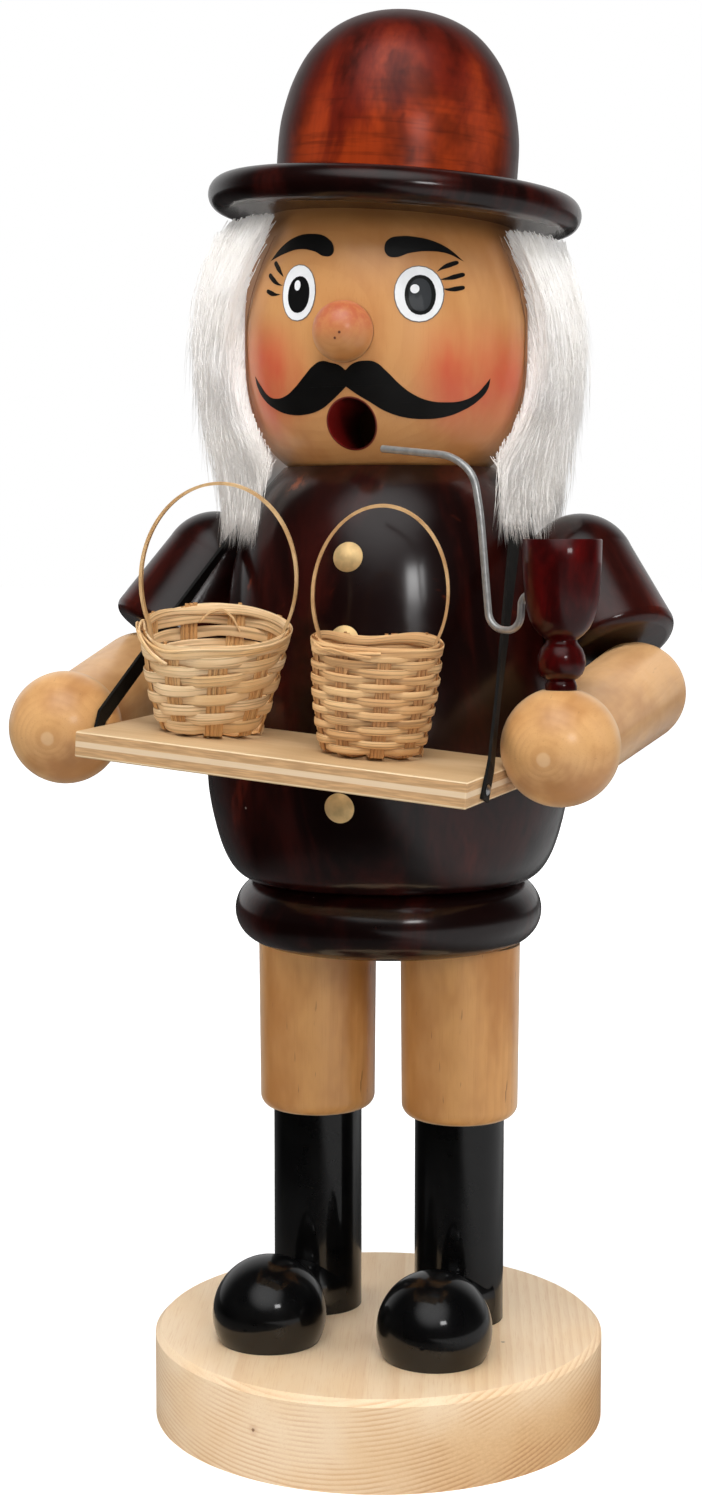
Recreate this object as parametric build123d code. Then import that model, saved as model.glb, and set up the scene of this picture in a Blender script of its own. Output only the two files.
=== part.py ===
from build123d import *
import math
import os

os.makedirs("parts", exist_ok=True)

# A turned wooden pedlar that smokes: he stands on a round base, his upper body lifts off
# a short spigot, an incense cone burns on the dish inside him, and the smoke leaves his mouth.
# Millimetres. The origin is the middle of the base's underside, +Z is up, he faces -Y,
# and his own left hand is on the +X side.

# Fits that many pieces share
dowel_gap = 0.1
seat_gap = 0.12
overrun = 2

# Base
base_diameter = 150
base_height = 29.5
base_edge_chamfer = 2
figure_set_back = 11.6

# Legs
leg_spacing = 50
boot_diameter = 30
boot_height = 69.3
thigh_diameter = 40
thigh_foot_diameter = 39
thigh_height = 58.7
thigh_foot_round = 4.5
leg_dowel_diameter = 10
leg_dowel_base_depth = 15
leg_dowel_ring_depth = 10

# Shoes
shoe_ball_diameter = 37.5
shoe_sole_diameter = 33
shoe_reach = 40
left_shoe_splay = 2.8
right_shoe_splay = 6
shoe_neck_diameter = 21.5
shoe_heel_diameter = 28
shoe_neck_share = 0.5

# Waist ring with the spigot that carries the upper body
ring_diameter = 103
ring_height = 22.2
spigot_diameter = 72
spigot_height = 8
spigot_chamfer = 1
spigot_gap = 0.4
draught_diameter = 7
draught_offset = 26

# Dish for the incense cone
dish_diameter = 34
dish_height = 5
dish_sheet = 0.8
dish_floor_diameter = 24
dish_nail_diameter = 1.8
dish_nail_length = 9
dish_nail_head_diameter = 5
dish_nail_head_height = 1.2

# Torso, hollow, with a chimney up to the head
torso_diameter = 121
torso_height = 135.7
torso_outline_shares = (
    (0.79, 0), (0.845, 0.018), (0.9, 0.055), (0.957, 0.13), (1, 0.245), (0.968, 0.422),
    (0.9, 0.629), (0.821, 0.82), (0.757, 0.894), (0.652, 0.962), (0.574, 1),
)
chamber_shoulder_height = 36
chimney_height = 13.7
chimney_diameter = 22
neck_spigot_diameter = 32
neck_spigot_height = 7

# Head
head_diameter = 97
head_height = 86
head_outline_shares = (
    (0.68, 0), (0.765, 0.04), (0.866, 0.112), (0.948, 0.228), (0.99, 0.344), (1, 0.46),
    (0.994, 0.577), (0.961, 0.695), (0.903, 0.81), (0.835, 0.905), (0.75, 1),
)
mouth_height = 12.6
mouth_diameter = 15.4
chimney_head_height = 28
nose_height = 40.6
nose_diameter = 19
nose_overhang = 10.8
nose_side = -0.8
nose_recess_depth = 3.4
nose_peg_diameter = 6
nose_peg_length = 9

# Hat, tipped a little to his left
hat_seat_drop = 6.8
hat_shift = 1.4
hat_tilt = 4
brim_diameter = 122.4
brim_thickness = 11.5
crown_diameter = 78.8
crown_height = 56.4
crown_outline_shares = (
    (1, 0.02), (1, 0.19), (0.987, 0.34), (0.963, 0.43), (0.93, 0.52), (0.883, 0.61),
    (0.82, 0.7), (0.733, 0.785), (0.61, 0.87), (0.39, 0.955), (0, 1),
)
crown_spigot_diameter = 20
crown_spigot_depth = 11

# Sleeves
shoulder_stand_off = 11.9
shoulder_back_turn = 5
shoulder_rise = 102.9
shoulder_height_skew = 0.6
sleeve_dome_diameter = 36.6
sleeve_rim_diameter = 42
sleeve_length = 31.9
sleeve_rim_round = 4
sleeve_outward_share = 0.45
sleeve_forward_share = 0.348
shoulder_dowel_diameter = 8
shoulder_dowel_depth = 11

# Forearms and hands; his right hand sits a little higher and nearer
elbow_diameter = 32.4
elbow_seat = 0.8
elbow_dowel_diameter = 8
elbow_dowel_depth = 9
wrist_diameter = 28
hand_diameter = 34.6
hand_grip = 1.8
hand_behind_tray = 5.8
hand_rise = 6
hand_height_skew = 0.95
hand_forward_skew = 1.25
wrist_dowel_diameter = 8
wrist_dowel_depth = 9

# Tray of plywood between the hands
tray_width = 124
tray_depth = 49
tray_thickness = 7.7
tray_edge_chamfer = 0.4
tray_side = 0.3
tray_torso_gap = 12.1
tray_rise = 47.8
tray_yaw = -6.75
tray_roll = 4.66
tray_pitch = 2.03

# Baskets, each a tapered woven pot with a bent strip for its handle
basket_wall = 1.7
basket_floor = 1.8
basket_bulge_share = 0.3
handle_width = 3.4
handle_thickness = 0.9
handle_turn = 20
right_basket_foot_diameter = 31
right_basket_rim_diameter = 45.6
right_basket_height = 32
right_basket_rim_slant = 11
right_basket_side = -32.2
right_basket_back = 5
right_basket_handle_span = 47.6
right_basket_handle_rise = 43
right_basket_handle_depth = 14
left_basket_foot_diameter = 30.5
left_basket_rim_diameter = 38.5
left_basket_height = 33.5
left_basket_rim_slant = 3
left_basket_side = 21.3
left_basket_back = 2.8
left_basket_handle_span = 40
left_basket_handle_rise = 39
left_basket_handle_depth = 16

# Pipe on his left hand
pipe_cup_diameter = 22.8
pipe_cup_height = 28.4
pipe_bead_diameter = 13.2
pipe_foot_diameter = 10
pipe_height = 43
pipe_recess_diameter = 15
pipe_recess_depth = 9
pipe_hand_flat = 0.9
pipe_waist_share = 0.9
pipe_cup_outline_shares = ((0.72, 0.13), (0.93, 0.38))
pipe_peg_diameter = 5
pipe_peg_depth = 7

# Wire stem of the pipe, from the bowl's side down, round and up to his lips
stem_wire_diameter = 2.2
stem_turn = 159.2
stem_reach = 63.9
stem_rise = 70
stem_route_shares = (
    (0.119, 0.394), (0.213, 0.383), (0.222, 0.233), (0.388, 0.243),
    (0.441, 0.714), (0.479, 0.886), (0.603, 0.963), (1, 1),
)
stem_bend_share = 0.45

# Brass nails for buttons down his front
button_diameter = 9.6
button_side = 1.2
button_height = 1.7
button_shank_diameter = 2
button_shank_length = 9
button_margin = 29
button_count = 4

# Neck strap of black leather cloth, nailed to both ends of the tray
strap_width = 5.3
strap_thickness = 0.9
strap_shoulder_angle = 75
strap_shoulder_drop = 16.9
strap_neck_rise = 9.5
strap_neck_steps = 18
strap_run_steps = 4
strap_tail = 3.4
strap_slot_gap = 0.25
strap_edge_forward = 8
strap_nail_forward = 10.5
strap_nail_head_diameter = 3.2
strap_nail_head_height = 0.7
strap_nail_shank_diameter = 1.2
strap_nail_length = 7

# Hair round the back and sides of the head
hair_half_angle = 100
hair_thickness = 15
hair_drop = 18.4
hair_gap = 0.3
hair_outline_shares = (
    (0.84, 0), (0.91, 0.1), (0.97, 0.3), (1, 0.55), (0.97, 0.75), (0.86, 0.93), (0.75, 1),
)

# Levels that follow from the sizes above
upright = (Align.CENTER, Align.CENTER, Align.MIN)
boot_top = base_height + boot_height
ring_foot = boot_top + thigh_height
ring_top = ring_foot + ring_height
torso_top = ring_top + torso_height
hat_seat = torso_top + head_height - hat_seat_drop
shoulder_height = ring_top + shoulder_rise
tray_height = ring_top + tray_rise
tray_forward = (torso_diameter + tray_depth) / 2 + tray_torso_gap
hand_height = tray_height + hand_rise
hand_forward = tray_forward - hand_behind_tray
hand_spread = (tray_width + hand_diameter) / 2 - hand_grip
hair_foot = torso_top - hair_drop
figure = Pos(0, figure_set_back, 0)
sides = {"left": 1, "right": -1}
quarter_turn = 90
half_turn = 180


def write(shape, node):
    export_step(shape, f"parts/{node}.step")


def spin(edges):
    # A closed outline of radius and height, turned about the upright axis
    return revolve(make_face(edges), Axis.Z)


def at(radius, height):
    return Vector(radius, 0, height)


def scaled_spline(shares, radius, foot, height):
    return Spline([at(radius * across, foot + height * up) for across, up in shares])


def solid_under(curve):
    # The turned solid between the axis and an outline
    foot, top = curve @ 0, curve @ 1
    edges = [
        Line(at(0, foot.Z), foot),
        curve,
        Line(top, at(0, top.Z)),
        Line(at(0, top.Z), at(0, foot.Z)),
    ]
    return spin(edges)


def along(start, end):
    # A place whose Z runs from start to end
    return Location(Plane(start, z_dir=end - start))


def rod(diameter, start, end):
    return along(start, end) * Cylinder(diameter / 2, (end - start).length, align=upright)


def radius_at(curve, height):
    # The radius of an outline at a height, found by halving
    low, high = 0.0, 1.0
    rising = (curve @ 1).Z > (curve @ 0).Z
    for _ in range(40):
        middle = (low + high) / 2
        above = (curve @ middle).Z > height
        if above == rising:
            high = middle
        else:
            low = middle
    return (curve @ low).X


# Base and legs


def base_plate():
    disc = Cylinder(base_diameter / 2, base_height, align=upright)
    disc = chamfer(disc.edges().group_by(Axis.Z)[-1], base_edge_chamfer)
    for side in sides.values():
        floor = base_height - leg_dowel_base_depth
        hole = Cylinder(leg_dowel_diameter / 2 + dowel_gap, leg_dowel_base_depth + overrun, align=upright)
        disc -= Pos(side * leg_spacing / 2, figure_set_back, floor) * hole
    return disc


def bored(shape, radius, foot, height):
    drill = Cylinder(radius, height + 2 * overrun, align=upright)
    return shape - Pos(0, 0, foot - overrun) * drill


def boot():
    shaft = Pos(0, 0, base_height) * Cylinder(boot_diameter / 2, boot_height, align=upright)
    return bored(shaft, leg_dowel_diameter / 2 + dowel_gap, base_height, boot_height)


def thigh():
    foot_radius = thigh_foot_diameter / 2
    corner = thigh_foot_round * math.sqrt(0.5)
    inset = foot_radius - thigh_foot_round
    bend = at(inset + corner, boot_top + thigh_foot_round - corner)
    edges = [
        Line(at(0, boot_top), at(inset, boot_top)),
        ThreePointArc(at(inset, boot_top), bend, at(foot_radius, boot_top + thigh_foot_round)),
        Line(at(foot_radius, boot_top + thigh_foot_round), at(thigh_diameter / 2, ring_foot)),
        Line(at(thigh_diameter / 2, ring_foot), at(0, ring_foot)),
        Line(at(0, ring_foot), at(0, boot_top)),
    ]
    return bored(spin(edges), leg_dowel_diameter / 2 + dowel_gap, boot_top, thigh_height)


def leg_dowel():
    foot = base_height - leg_dowel_base_depth
    length = ring_foot + leg_dowel_ring_depth - foot
    return Pos(0, 0, foot) * Cylinder(leg_dowel_diameter / 2, length, align=upright)


def shoe(side, splay):
    # A turned ball with a hollow neck, lying forward, cut flat below and hollowed to the boot
    ball = shoe_ball_diameter / 2
    drop = math.sqrt(ball ** 2 - (shoe_sole_diameter / 2) ** 2)
    heel_start = boot_diameter / 4
    neck_start = shoe_reach - ball * math.sqrt(0.5)
    ball_back = at(ball * math.sqrt(0.5), neck_start)
    neck = at(shoe_neck_diameter / 2, heel_start + (neck_start - heel_start) * (1 - shoe_neck_share / 2))
    edges = [
        Line(at(0, heel_start), at(shoe_heel_diameter / 2, heel_start)),
        ThreePointArc(at(shoe_heel_diameter / 2, heel_start), neck, ball_back),
        ThreePointArc(ball_back, at(ball, shoe_reach), at(0, shoe_reach + ball)),
        Line(at(0, shoe_reach + ball), at(0, heel_start)),
    ]
    turned = Pos(0, 0, base_height + drop) * Rot(0, 0, side * splay) * Rot(90, 0, 0) * spin(edges)
    below = Pos(0, 0, base_height) * Box(
        4 * shoe_reach, 4 * shoe_reach, 2 * shoe_reach, align=(Align.CENTER, Align.CENTER, Align.MAX)
    )
    leg = Pos(0, 0, base_height - overrun) * Cylinder(
        boot_diameter / 2 + seat_gap, shoe_ball_diameter + 2 * overrun, align=upright
    )
    return turned - below - leg


def write_legs():
    splays = {"left": left_shoe_splay, "right": right_shoe_splay}
    for name, side in sides.items():
        place = figure * Pos(side * leg_spacing / 2, 0, 0)
        write(place * boot(), f"{name}_boot")
        write(place * shoe(side, splays[name]), f"{name}_shoe")
        write(place * thigh(), f"{name}_thigh")
        write(place * leg_dowel(), f"{name}_leg_dowel")


# Waist ring, dish and nail


def waist_ring():
    edge = ring_height / 2
    flat = ring_diameter / 2 - edge
    spigot = spigot_diameter / 2
    spigot_top = ring_top + spigot_height
    edges = [
        Line(at(0, ring_foot), at(flat, ring_foot)),
        ThreePointArc(at(flat, ring_foot), at(flat + edge, ring_foot + edge), at(flat, ring_top)),
        Line(at(flat, ring_top), at(spigot, ring_top)),
        Line(at(spigot, ring_top), at(spigot, spigot_top - spigot_chamfer)),
        Line(at(spigot, spigot_top - spigot_chamfer), at(spigot - spigot_chamfer, spigot_top)),
        Line(at(spigot - spigot_chamfer, spigot_top), at(0, spigot_top)),
        Line(at(0, spigot_top), at(0, ring_foot)),
    ]
    ring = spin(edges)
    for side in sides.values():
        hole = Cylinder(
            leg_dowel_diameter / 2 + dowel_gap, leg_dowel_ring_depth + dowel_gap + overrun, align=upright
        )
        ring -= Pos(side * leg_spacing / 2, 0, ring_foot - overrun) * hole
        draught = Pos(0, side * draught_offset, 0)
        ring -= draught * bored_rod(draught_diameter / 2, ring_foot, ring_height + spigot_height)
    nail_hole = Pos(0, 0, spigot_top - dish_nail_length) * Cylinder(
        dish_nail_diameter / 2 + dowel_gap, dish_nail_length + overrun, align=upright
    )
    return ring - nail_hole


def bored_rod(radius, foot, height):
    return Pos(0, 0, foot - overrun) * Cylinder(radius, height + 2 * overrun, align=upright)


def incense_dish():
    foot = ring_top + spigot_height
    floor = dish_floor_diameter / 2
    rim = dish_diameter / 2
    edges = [
        Line(at(0, foot), at(floor, foot)),
        Line(at(floor, foot), at(rim, foot + dish_height)),
        Line(at(rim, foot + dish_height), at(rim - dish_sheet, foot + dish_height)),
        Line(at(rim - dish_sheet, foot + dish_height), at(floor - dish_sheet, foot + dish_sheet)),
        Line(at(floor - dish_sheet, foot + dish_sheet), at(0, foot + dish_sheet)),
        Line(at(0, foot + dish_sheet), at(0, foot)),
    ]
    return bored(spin(edges), dish_nail_diameter / 2 + dowel_gap, foot, dish_height)


def round_nail(head_diameter, head_height, shank_diameter, shank_length):
    # Domed head above z = 0, shank below
    head = head_diameter / 2
    dome = (head ** 2 + head_height ** 2) / (2 * head_height)
    cap = Pos(0, 0, head_height - dome) * Sphere(dome) & Cylinder(head, dome, align=upright)
    return cap + Pos(0, 0, -shank_length) * Cylinder(shank_diameter / 2, shank_length, align=upright)


def dish_nail():
    nail = round_nail(
        dish_nail_head_diameter, dish_nail_head_height, dish_nail_diameter, dish_nail_length
    )
    return Pos(0, 0, ring_top + spigot_height + dish_sheet) * nail


# Torso and head


def torso_curve(grow=0):
    radius = torso_diameter / 2
    shares = [(across + grow / radius, up) for across, up in torso_outline_shares]
    return scaled_spline(shares, radius, ring_top, torso_height)


def torso_body(grow=0):
    return solid_under(torso_curve(grow))


def button_places():
    # Where each button lies on the front, its Z pointing square out of the surface
    curve = torso_curve()
    step = (torso_height - 2 * button_margin) / (button_count - 1)
    for index in range(button_count):
        height = torso_top - button_margin - index * step
        radius = radius_at(curve, height)
        fall = radius_at(curve, height - seat_gap) - radius
        outward = Vector(0, -seat_gap, fall).normalized()
        yield Location(Plane(Vector(button_side, -radius, height) + outward * seat_gap / 2, z_dir=outward))


def shoulder_centre(side):
    height = shoulder_height - side * shoulder_height_skew
    spread = radius_at(torso_curve(), height) + shoulder_stand_off
    turn = math.radians(shoulder_back_turn)
    return Vector(side * spread * math.cos(turn), spread * math.sin(turn), height)


def shoulder_dowel_ends(side):
    # Level dowel from inside the torso's wall to the middle of the sleeve's dome
    centre = shoulder_centre(side)
    outward = Vector(centre.X, centre.Y, 0).normalized()
    wall = radius_at(torso_curve(), centre.Z)
    start = outward * (wall - shoulder_dowel_depth) + Vector(0, 0, centre.Z)
    return start, centre


def torso():
    body = torso_body()
    foot = ring_top
    chamber = spigot_diameter / 2 + spigot_gap
    chimney = chimney_diameter / 2
    neck = torso_top - chimney_height
    shoulder = neck - chamber_shoulder_height
    hollow = [
        Line(at(0, foot - overrun), at(chamber, foot - overrun)),
        Line(at(chamber, foot - overrun), at(chamber, shoulder)),
        Line(at(chamber, shoulder), at(chimney, neck)),
        Line(at(chimney, neck), at(chimney, torso_top + overrun)),
        Line(at(chimney, torso_top + overrun), at(0, torso_top + overrun)),
        Line(at(0, torso_top + overrun), at(0, foot - overrun)),
    ]
    body -= spin(hollow)
    socket_depth = neck_spigot_height + dowel_gap
    body -= Pos(0, 0, torso_top - socket_depth) * Cylinder(
        neck_spigot_diameter / 2 + dowel_gap, socket_depth + overrun, align=upright
    )
    for side in sides.values():
        start, end = shoulder_dowel_ends(side)
        body -= rod(shoulder_dowel_diameter + 2 * dowel_gap, start, end)
    drill = Cylinder(
        button_shank_diameter / 2 + dowel_gap, button_shank_length + overrun + dowel_gap, align=upright
    )
    for place in button_places():
        body -= place * Pos(0, 0, -button_shank_length - dowel_gap) * drill
    return body


def head_curve(grow=0):
    radius = head_diameter / 2
    shares = [(across + grow / radius, up) for across, up in head_outline_shares]
    return scaled_spline(shares, radius, torso_top, head_height)


def head_body(grow=0):
    return solid_under(head_curve(grow))


def hat_place():
    return Pos(hat_shift, 0, hat_seat) * Rot(0, hat_tilt, 0)


def nose_back():
    # Depth of the flat on which the nose is glued
    front = radius_at(head_curve(), torso_top + nose_height)
    return front - nose_recess_depth


def nose_centre():
    front = radius_at(head_curve(), torso_top + nose_height)
    return Vector(nose_side, nose_diameter / 2 - nose_overhang - front, torso_top + nose_height)


def nose_ball(grow=0):
    # Ball with the flat back on which it is glued
    centre = nose_centre()
    block = 2 * nose_diameter
    behind = Box(block, block, block, align=(Align.CENTER, Align.MIN, Align.CENTER))
    ball = Pos(centre) * Sphere(nose_diameter / 2 + grow)
    return ball - Pos(nose_side, -nose_back(), centre.Z) * behind


def head():
    body = head_body()
    above = Box(2 * head_diameter, 2 * head_diameter, head_height, align=upright)
    body -= hat_place() * above
    body += Pos(0, 0, torso_top - neck_spigot_height) * Cylinder(
        neck_spigot_diameter / 2, neck_spigot_height, align=upright
    )
    chimney_foot = torso_top - neck_spigot_height - overrun
    body -= Pos(0, 0, chimney_foot) * Cylinder(
        chimney_diameter / 2, torso_top + chimney_head_height - chimney_foot, align=upright
    )
    lips = torso_top + mouth_height
    body -= rod(mouth_diameter, Vector(0, 0, lips), Vector(0, -head_diameter, lips))
    socket = crown_spigot_depth + dowel_gap
    body -= hat_place() * Pos(0, 0, -socket) * Cylinder(
        crown_spigot_diameter / 2 + dowel_gap, socket + overrun, align=upright
    )
    body -= nose_ball(seat_gap)
    back = nose_back()
    level = torso_top + nose_height
    peg_end = Vector(nose_side, nose_peg_length + dowel_gap - back, level)
    body -= rod(nose_peg_diameter + 2 * dowel_gap, peg_end, Vector(nose_side, -back, level))
    return body


def nose():
    centre = nose_centre()
    peg_end = Vector(nose_side, nose_peg_length - nose_back(), centre.Z)
    return nose_ball() + rod(nose_peg_diameter, centre, peg_end)


# Hat


def hat_brim():
    edge = brim_thickness / 2
    flat = brim_diameter / 2 - edge
    edges = [
        Line(at(0, 0), at(flat, 0)),
        ThreePointArc(at(flat, 0), at(flat + edge, edge), at(flat, brim_thickness)),
        Line(at(flat, brim_thickness), at(0, brim_thickness)),
        Line(at(0, brim_thickness), at(0, 0)),
    ]
    disc = bored(spin(edges), crown_spigot_diameter / 2 + dowel_gap, 0, brim_thickness)
    return hat_place() * disc


def hat_crown():
    curve = scaled_spline(crown_outline_shares, crown_diameter / 2, brim_thickness, crown_height)
    foot, top = curve @ 0, curve @ 1
    edges = [
        Line(at(0, brim_thickness), at(crown_diameter / 2, brim_thickness)),
        Line(at(crown_diameter / 2, brim_thickness), foot),
        curve,
        Line(top, at(0, brim_thickness)),
    ]
    spigot = Pos(0, 0, -crown_spigot_depth) * Cylinder(
        crown_spigot_diameter / 2, crown_spigot_depth + brim_thickness + overrun, align=upright
    )
    return hat_place() * (spin(edges) + spigot)


# Arms


def sleeve_direction(side):
    down = math.sqrt(1 - sleeve_outward_share ** 2 - sleeve_forward_share ** 2)
    return Vector(side * sleeve_outward_share, -sleeve_forward_share, -down)


def elbow_centre(side):
    step = sleeve_length + elbow_diameter / 2 - elbow_seat
    return shoulder_centre(side) + sleeve_direction(side) * step


def hand_centre(side):
    return Vector(
        side * hand_spread,
        -hand_forward - side * hand_forward_skew,
        hand_height - side * hand_height_skew,
    )


def wrist_drop():
    # From the middle of the hand back to the flat where the forearm meets it
    return math.sqrt((hand_diameter / 2) ** 2 - (wrist_diameter / 2) ** 2)


def elbow_dowel_ends(side):
    centre = elbow_centre(side)
    inward = sleeve_direction(side) * -1
    start = centre
    end = centre + inward * (elbow_diameter / 2 + elbow_dowel_depth)
    return start, end


def sleeve_body(side, grow=0):
    dome = sleeve_dome_diameter / 2 + grow
    rim = sleeve_rim_diameter / 2 + grow
    corner = sleeve_rim_round * math.sqrt(0.5)
    edges = [
        ThreePointArc(at(0, -dome), at(dome * math.sqrt(0.5), -dome * math.sqrt(0.5)), at(dome, 0)),
        Line(at(dome, 0), at(rim, sleeve_length - sleeve_rim_round)),
        ThreePointArc(
            at(rim, sleeve_length - sleeve_rim_round),
            at(rim - sleeve_rim_round + corner, sleeve_length - sleeve_rim_round + corner),
            at(rim - sleeve_rim_round, sleeve_length),
        ),
        Line(at(rim - sleeve_rim_round, sleeve_length), at(0, sleeve_length)),
        Line(at(0, sleeve_length), at(0, -dome)),
    ]
    centre = shoulder_centre(side)
    return along(centre, centre + sleeve_direction(side)) * spin(edges)


def sleeve(side):
    body = sleeve_body(side) - torso_body(seat_gap)
    body -= Pos(elbow_centre(side)) * Sphere(elbow_diameter / 2 + seat_gap)
    start, end = elbow_dowel_ends(side)
    body -= rod(elbow_dowel_diameter + 2 * dowel_gap, start, end)
    start, end = shoulder_dowel_ends(side)
    return body - rod(shoulder_dowel_diameter + 2 * dowel_gap, start, end)


def forearm(side):
    elbow = elbow_centre(side)
    hand = hand_centre(side)
    reach = (hand - elbow).length - wrist_drop()
    ball = elbow_diameter / 2
    edges = [
        ThreePointArc(at(0, -ball), at(ball * math.sqrt(0.5), -ball * math.sqrt(0.5)), at(ball, 0)),
        Line(at(ball, 0), at(wrist_diameter / 2, reach)),
        Line(at(wrist_diameter / 2, reach), at(0, reach)),
        Line(at(0, reach), at(0, -ball)),
    ]
    place = along(elbow, hand)
    body = place * spin(edges)
    body -= place * Pos(0, 0, reach - wrist_dowel_depth) * Cylinder(
        wrist_dowel_diameter / 2 + dowel_gap, wrist_dowel_depth + overrun, align=upright
    )
    start, end = elbow_dowel_ends(side)
    return body - rod(elbow_dowel_diameter + 2 * dowel_gap, start, end)


def wrist_point(side):
    elbow = elbow_centre(side)
    hand = hand_centre(side)
    return hand + (elbow - hand).normalized() * wrist_drop()


def hand(side):
    centre = hand_centre(side)
    wrist = wrist_point(side)
    forward = (centre - wrist).normalized()
    # The ball's seam is turned outward, away from what is cut into it at the tray
    seam = 0 if side > 0 else half_turn
    ball = Pos(centre) * Rot(0, 0, seam) * Sphere(hand_diameter / 2)
    behind = along(wrist, wrist - forward) * Cylinder(hand_diameter, hand_diameter, align=upright)
    ball -= behind
    ball -= rod(wrist_dowel_diameter + 2 * dowel_gap, wrist - forward, wrist + forward * wrist_dowel_depth)
    ball -= tray_board(seat_gap)
    for slot in strap_slots(side):
        ball -= slot
    ball -= tray_place() * strap_nail_place(side) * Pos(0, 0, -overrun) * Cylinder(
        strap_nail_head_diameter / 2 + strap_slot_gap,
        strap_nail_head_height + overrun + strap_slot_gap,
        align=upright,
    )
    if side > 0:
        ball -= Pos(pipe_foot()) * Cylinder(pipe_bead_diameter, hand_diameter, align=upright)
        hole_foot = pipe_foot() - Vector(0, 0, pipe_peg_depth + dowel_gap)
        ball -= rod(pipe_peg_diameter + 2 * dowel_gap, hole_foot, pipe_foot() + Vector(0, 0, overrun))
    return ball


def write_arms():
    for name, side in sides.items():
        write(figure * sleeve(side), f"{name}_sleeve")
        write(figure * forearm(side), f"{name}_forearm")
        write(figure * hand(side), f"{name}_hand")
        start, end = shoulder_dowel_ends(side)
        write(figure * rod(shoulder_dowel_diameter, start, end), f"{name}_shoulder_dowel")
        start, end = elbow_dowel_ends(side)
        write(figure * rod(elbow_dowel_diameter, start, end), f"{name}_elbow_dowel")
        wrist = wrist_point(side)
        half = (hand_centre(side) - elbow_centre(side)).normalized() * wrist_dowel_depth
        write(figure * rod(wrist_dowel_diameter, wrist - half, wrist + half), f"{name}_wrist_dowel")


# Tray and baskets


def tray_place():
    centre = Pos(tray_side, -tray_forward, tray_height)
    return centre * Rot(0, 0, tray_yaw) * Rot(0, tray_roll, 0) * Rot(tray_pitch, 0, 0)


def tray_board(grow=0):
    board = Box(tray_width + 2 * grow, tray_depth + 2 * grow, tray_thickness + 2 * grow)
    return tray_place() * board


def tray():
    board = Box(tray_width, tray_depth, tray_thickness)
    board = chamfer(board.edges(), tray_edge_chamfer)
    for side in sides.values():
        board -= strap_nail_hole(side)
    return tray_place() * board


def basket_pot(foot_diameter, rim_diameter, height, slant):
    # Bulging tapered wall, open above, its rim cut on a slant
    foot, rim = foot_diameter / 2, rim_diameter / 2
    reach = rim * math.tan(math.radians(slant))
    tall = height + reach
    slope = (rim - foot) / height
    top = rim + slope * reach
    middle = (foot + top) / 2 + (top - foot) * basket_bulge_share / 2
    outer = ThreePointArc(at(foot, 0), at(middle, tall / 2), at(top, tall))
    inner = ThreePointArc(
        at(top - basket_wall, tall),
        at(middle - basket_wall, tall / 2),
        at(foot - basket_wall, basket_floor),
    )
    edges = [
        Line(at(0, 0), at(foot, 0)),
        outer,
        Line(at(top, tall), at(top - basket_wall, tall)),
        inner,
        Line(at(foot - basket_wall, basket_floor), at(0, basket_floor)),
        Line(at(0, basket_floor), at(0, 0)),
    ]
    above = Pos(0, 0, height) * Rot(slant, 0, 0) * Box(3 * rim, 3 * rim, 2 * tall, align=upright)
    return spin(edges) - above


def strip_face(across, span, up, level, foot, foot_across):
    # Oval that swells past the rim, on legs that draw in towards the foot
    swell = math.acos(across / span)
    tall = up / (1 + math.sin(swell))
    middle = level + up - tall
    start = Vector(span * math.cos(swell), middle - tall * math.sin(swell))
    curve = Polyline(start, (foot_across, foot), (-foot_across, foot), (-start.X, start.Y))
    swell_angle = math.degrees(swell)
    curve += EllipticalCenterArc(
        (0, middle), span, tall, start_angle=-swell_angle, arc_size=half_turn + 2 * swell_angle
    )
    return Plane.XZ * make_face(curve)


def bent_strip(foot_diameter, rim_diameter, height, span, rise, depth):
    # Flat strip bent to an oval, its legs lying inside the pot's wall
    across = rim_diameter / 2 - basket_wall - 2 * seat_gap
    slope = (rim_diameter - foot_diameter) / 2 / height
    foot = height - depth
    foot_across = across - slope * depth
    thin = handle_thickness
    outer = strip_face(across, span / 2, rise, height, foot, foot_across)
    inner_foot = foot_across - slope * overrun - thin
    inner = strip_face(across - thin, span / 2 - thin, rise - thin, height, foot - overrun, inner_foot)
    return extrude(outer - inner, handle_width / 2, both=True)


def write_baskets():
    top = tray_place() * Pos(0, 0, tray_thickness / 2)
    for name, side, back, foot, rim, height, slant, span, rise, depth in (
        (
            "right", right_basket_side, right_basket_back, right_basket_foot_diameter,
            right_basket_rim_diameter, right_basket_height, right_basket_rim_slant,
            right_basket_handle_span, right_basket_handle_rise, right_basket_handle_depth,
        ),
        (
            "left", left_basket_side, left_basket_back, left_basket_foot_diameter,
            left_basket_rim_diameter, left_basket_height, left_basket_rim_slant,
            left_basket_handle_span, left_basket_handle_rise, left_basket_handle_depth,
        ),
    ):
        place = figure * top * Pos(side, back, 0) * Rot(0, 0, handle_turn)
        write(place * basket_pot(foot, rim, height, slant), f"{name}_basket")
        write(place * bent_strip(foot, rim, height, span, rise, depth), f"{name}_basket_handle")


# Pipe


def pipe_foot():
    return hand_centre(1) + Vector(0, 0, hand_diameter / 2 - pipe_hand_flat)


def stem_points():
    turn = math.radians(stem_turn)
    axis = pipe_foot()
    return [
        axis + Vector(stem_reach * out * math.cos(turn), stem_reach * out * math.sin(turn), stem_rise * up)
        for out, up in stem_route_shares
    ]


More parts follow.
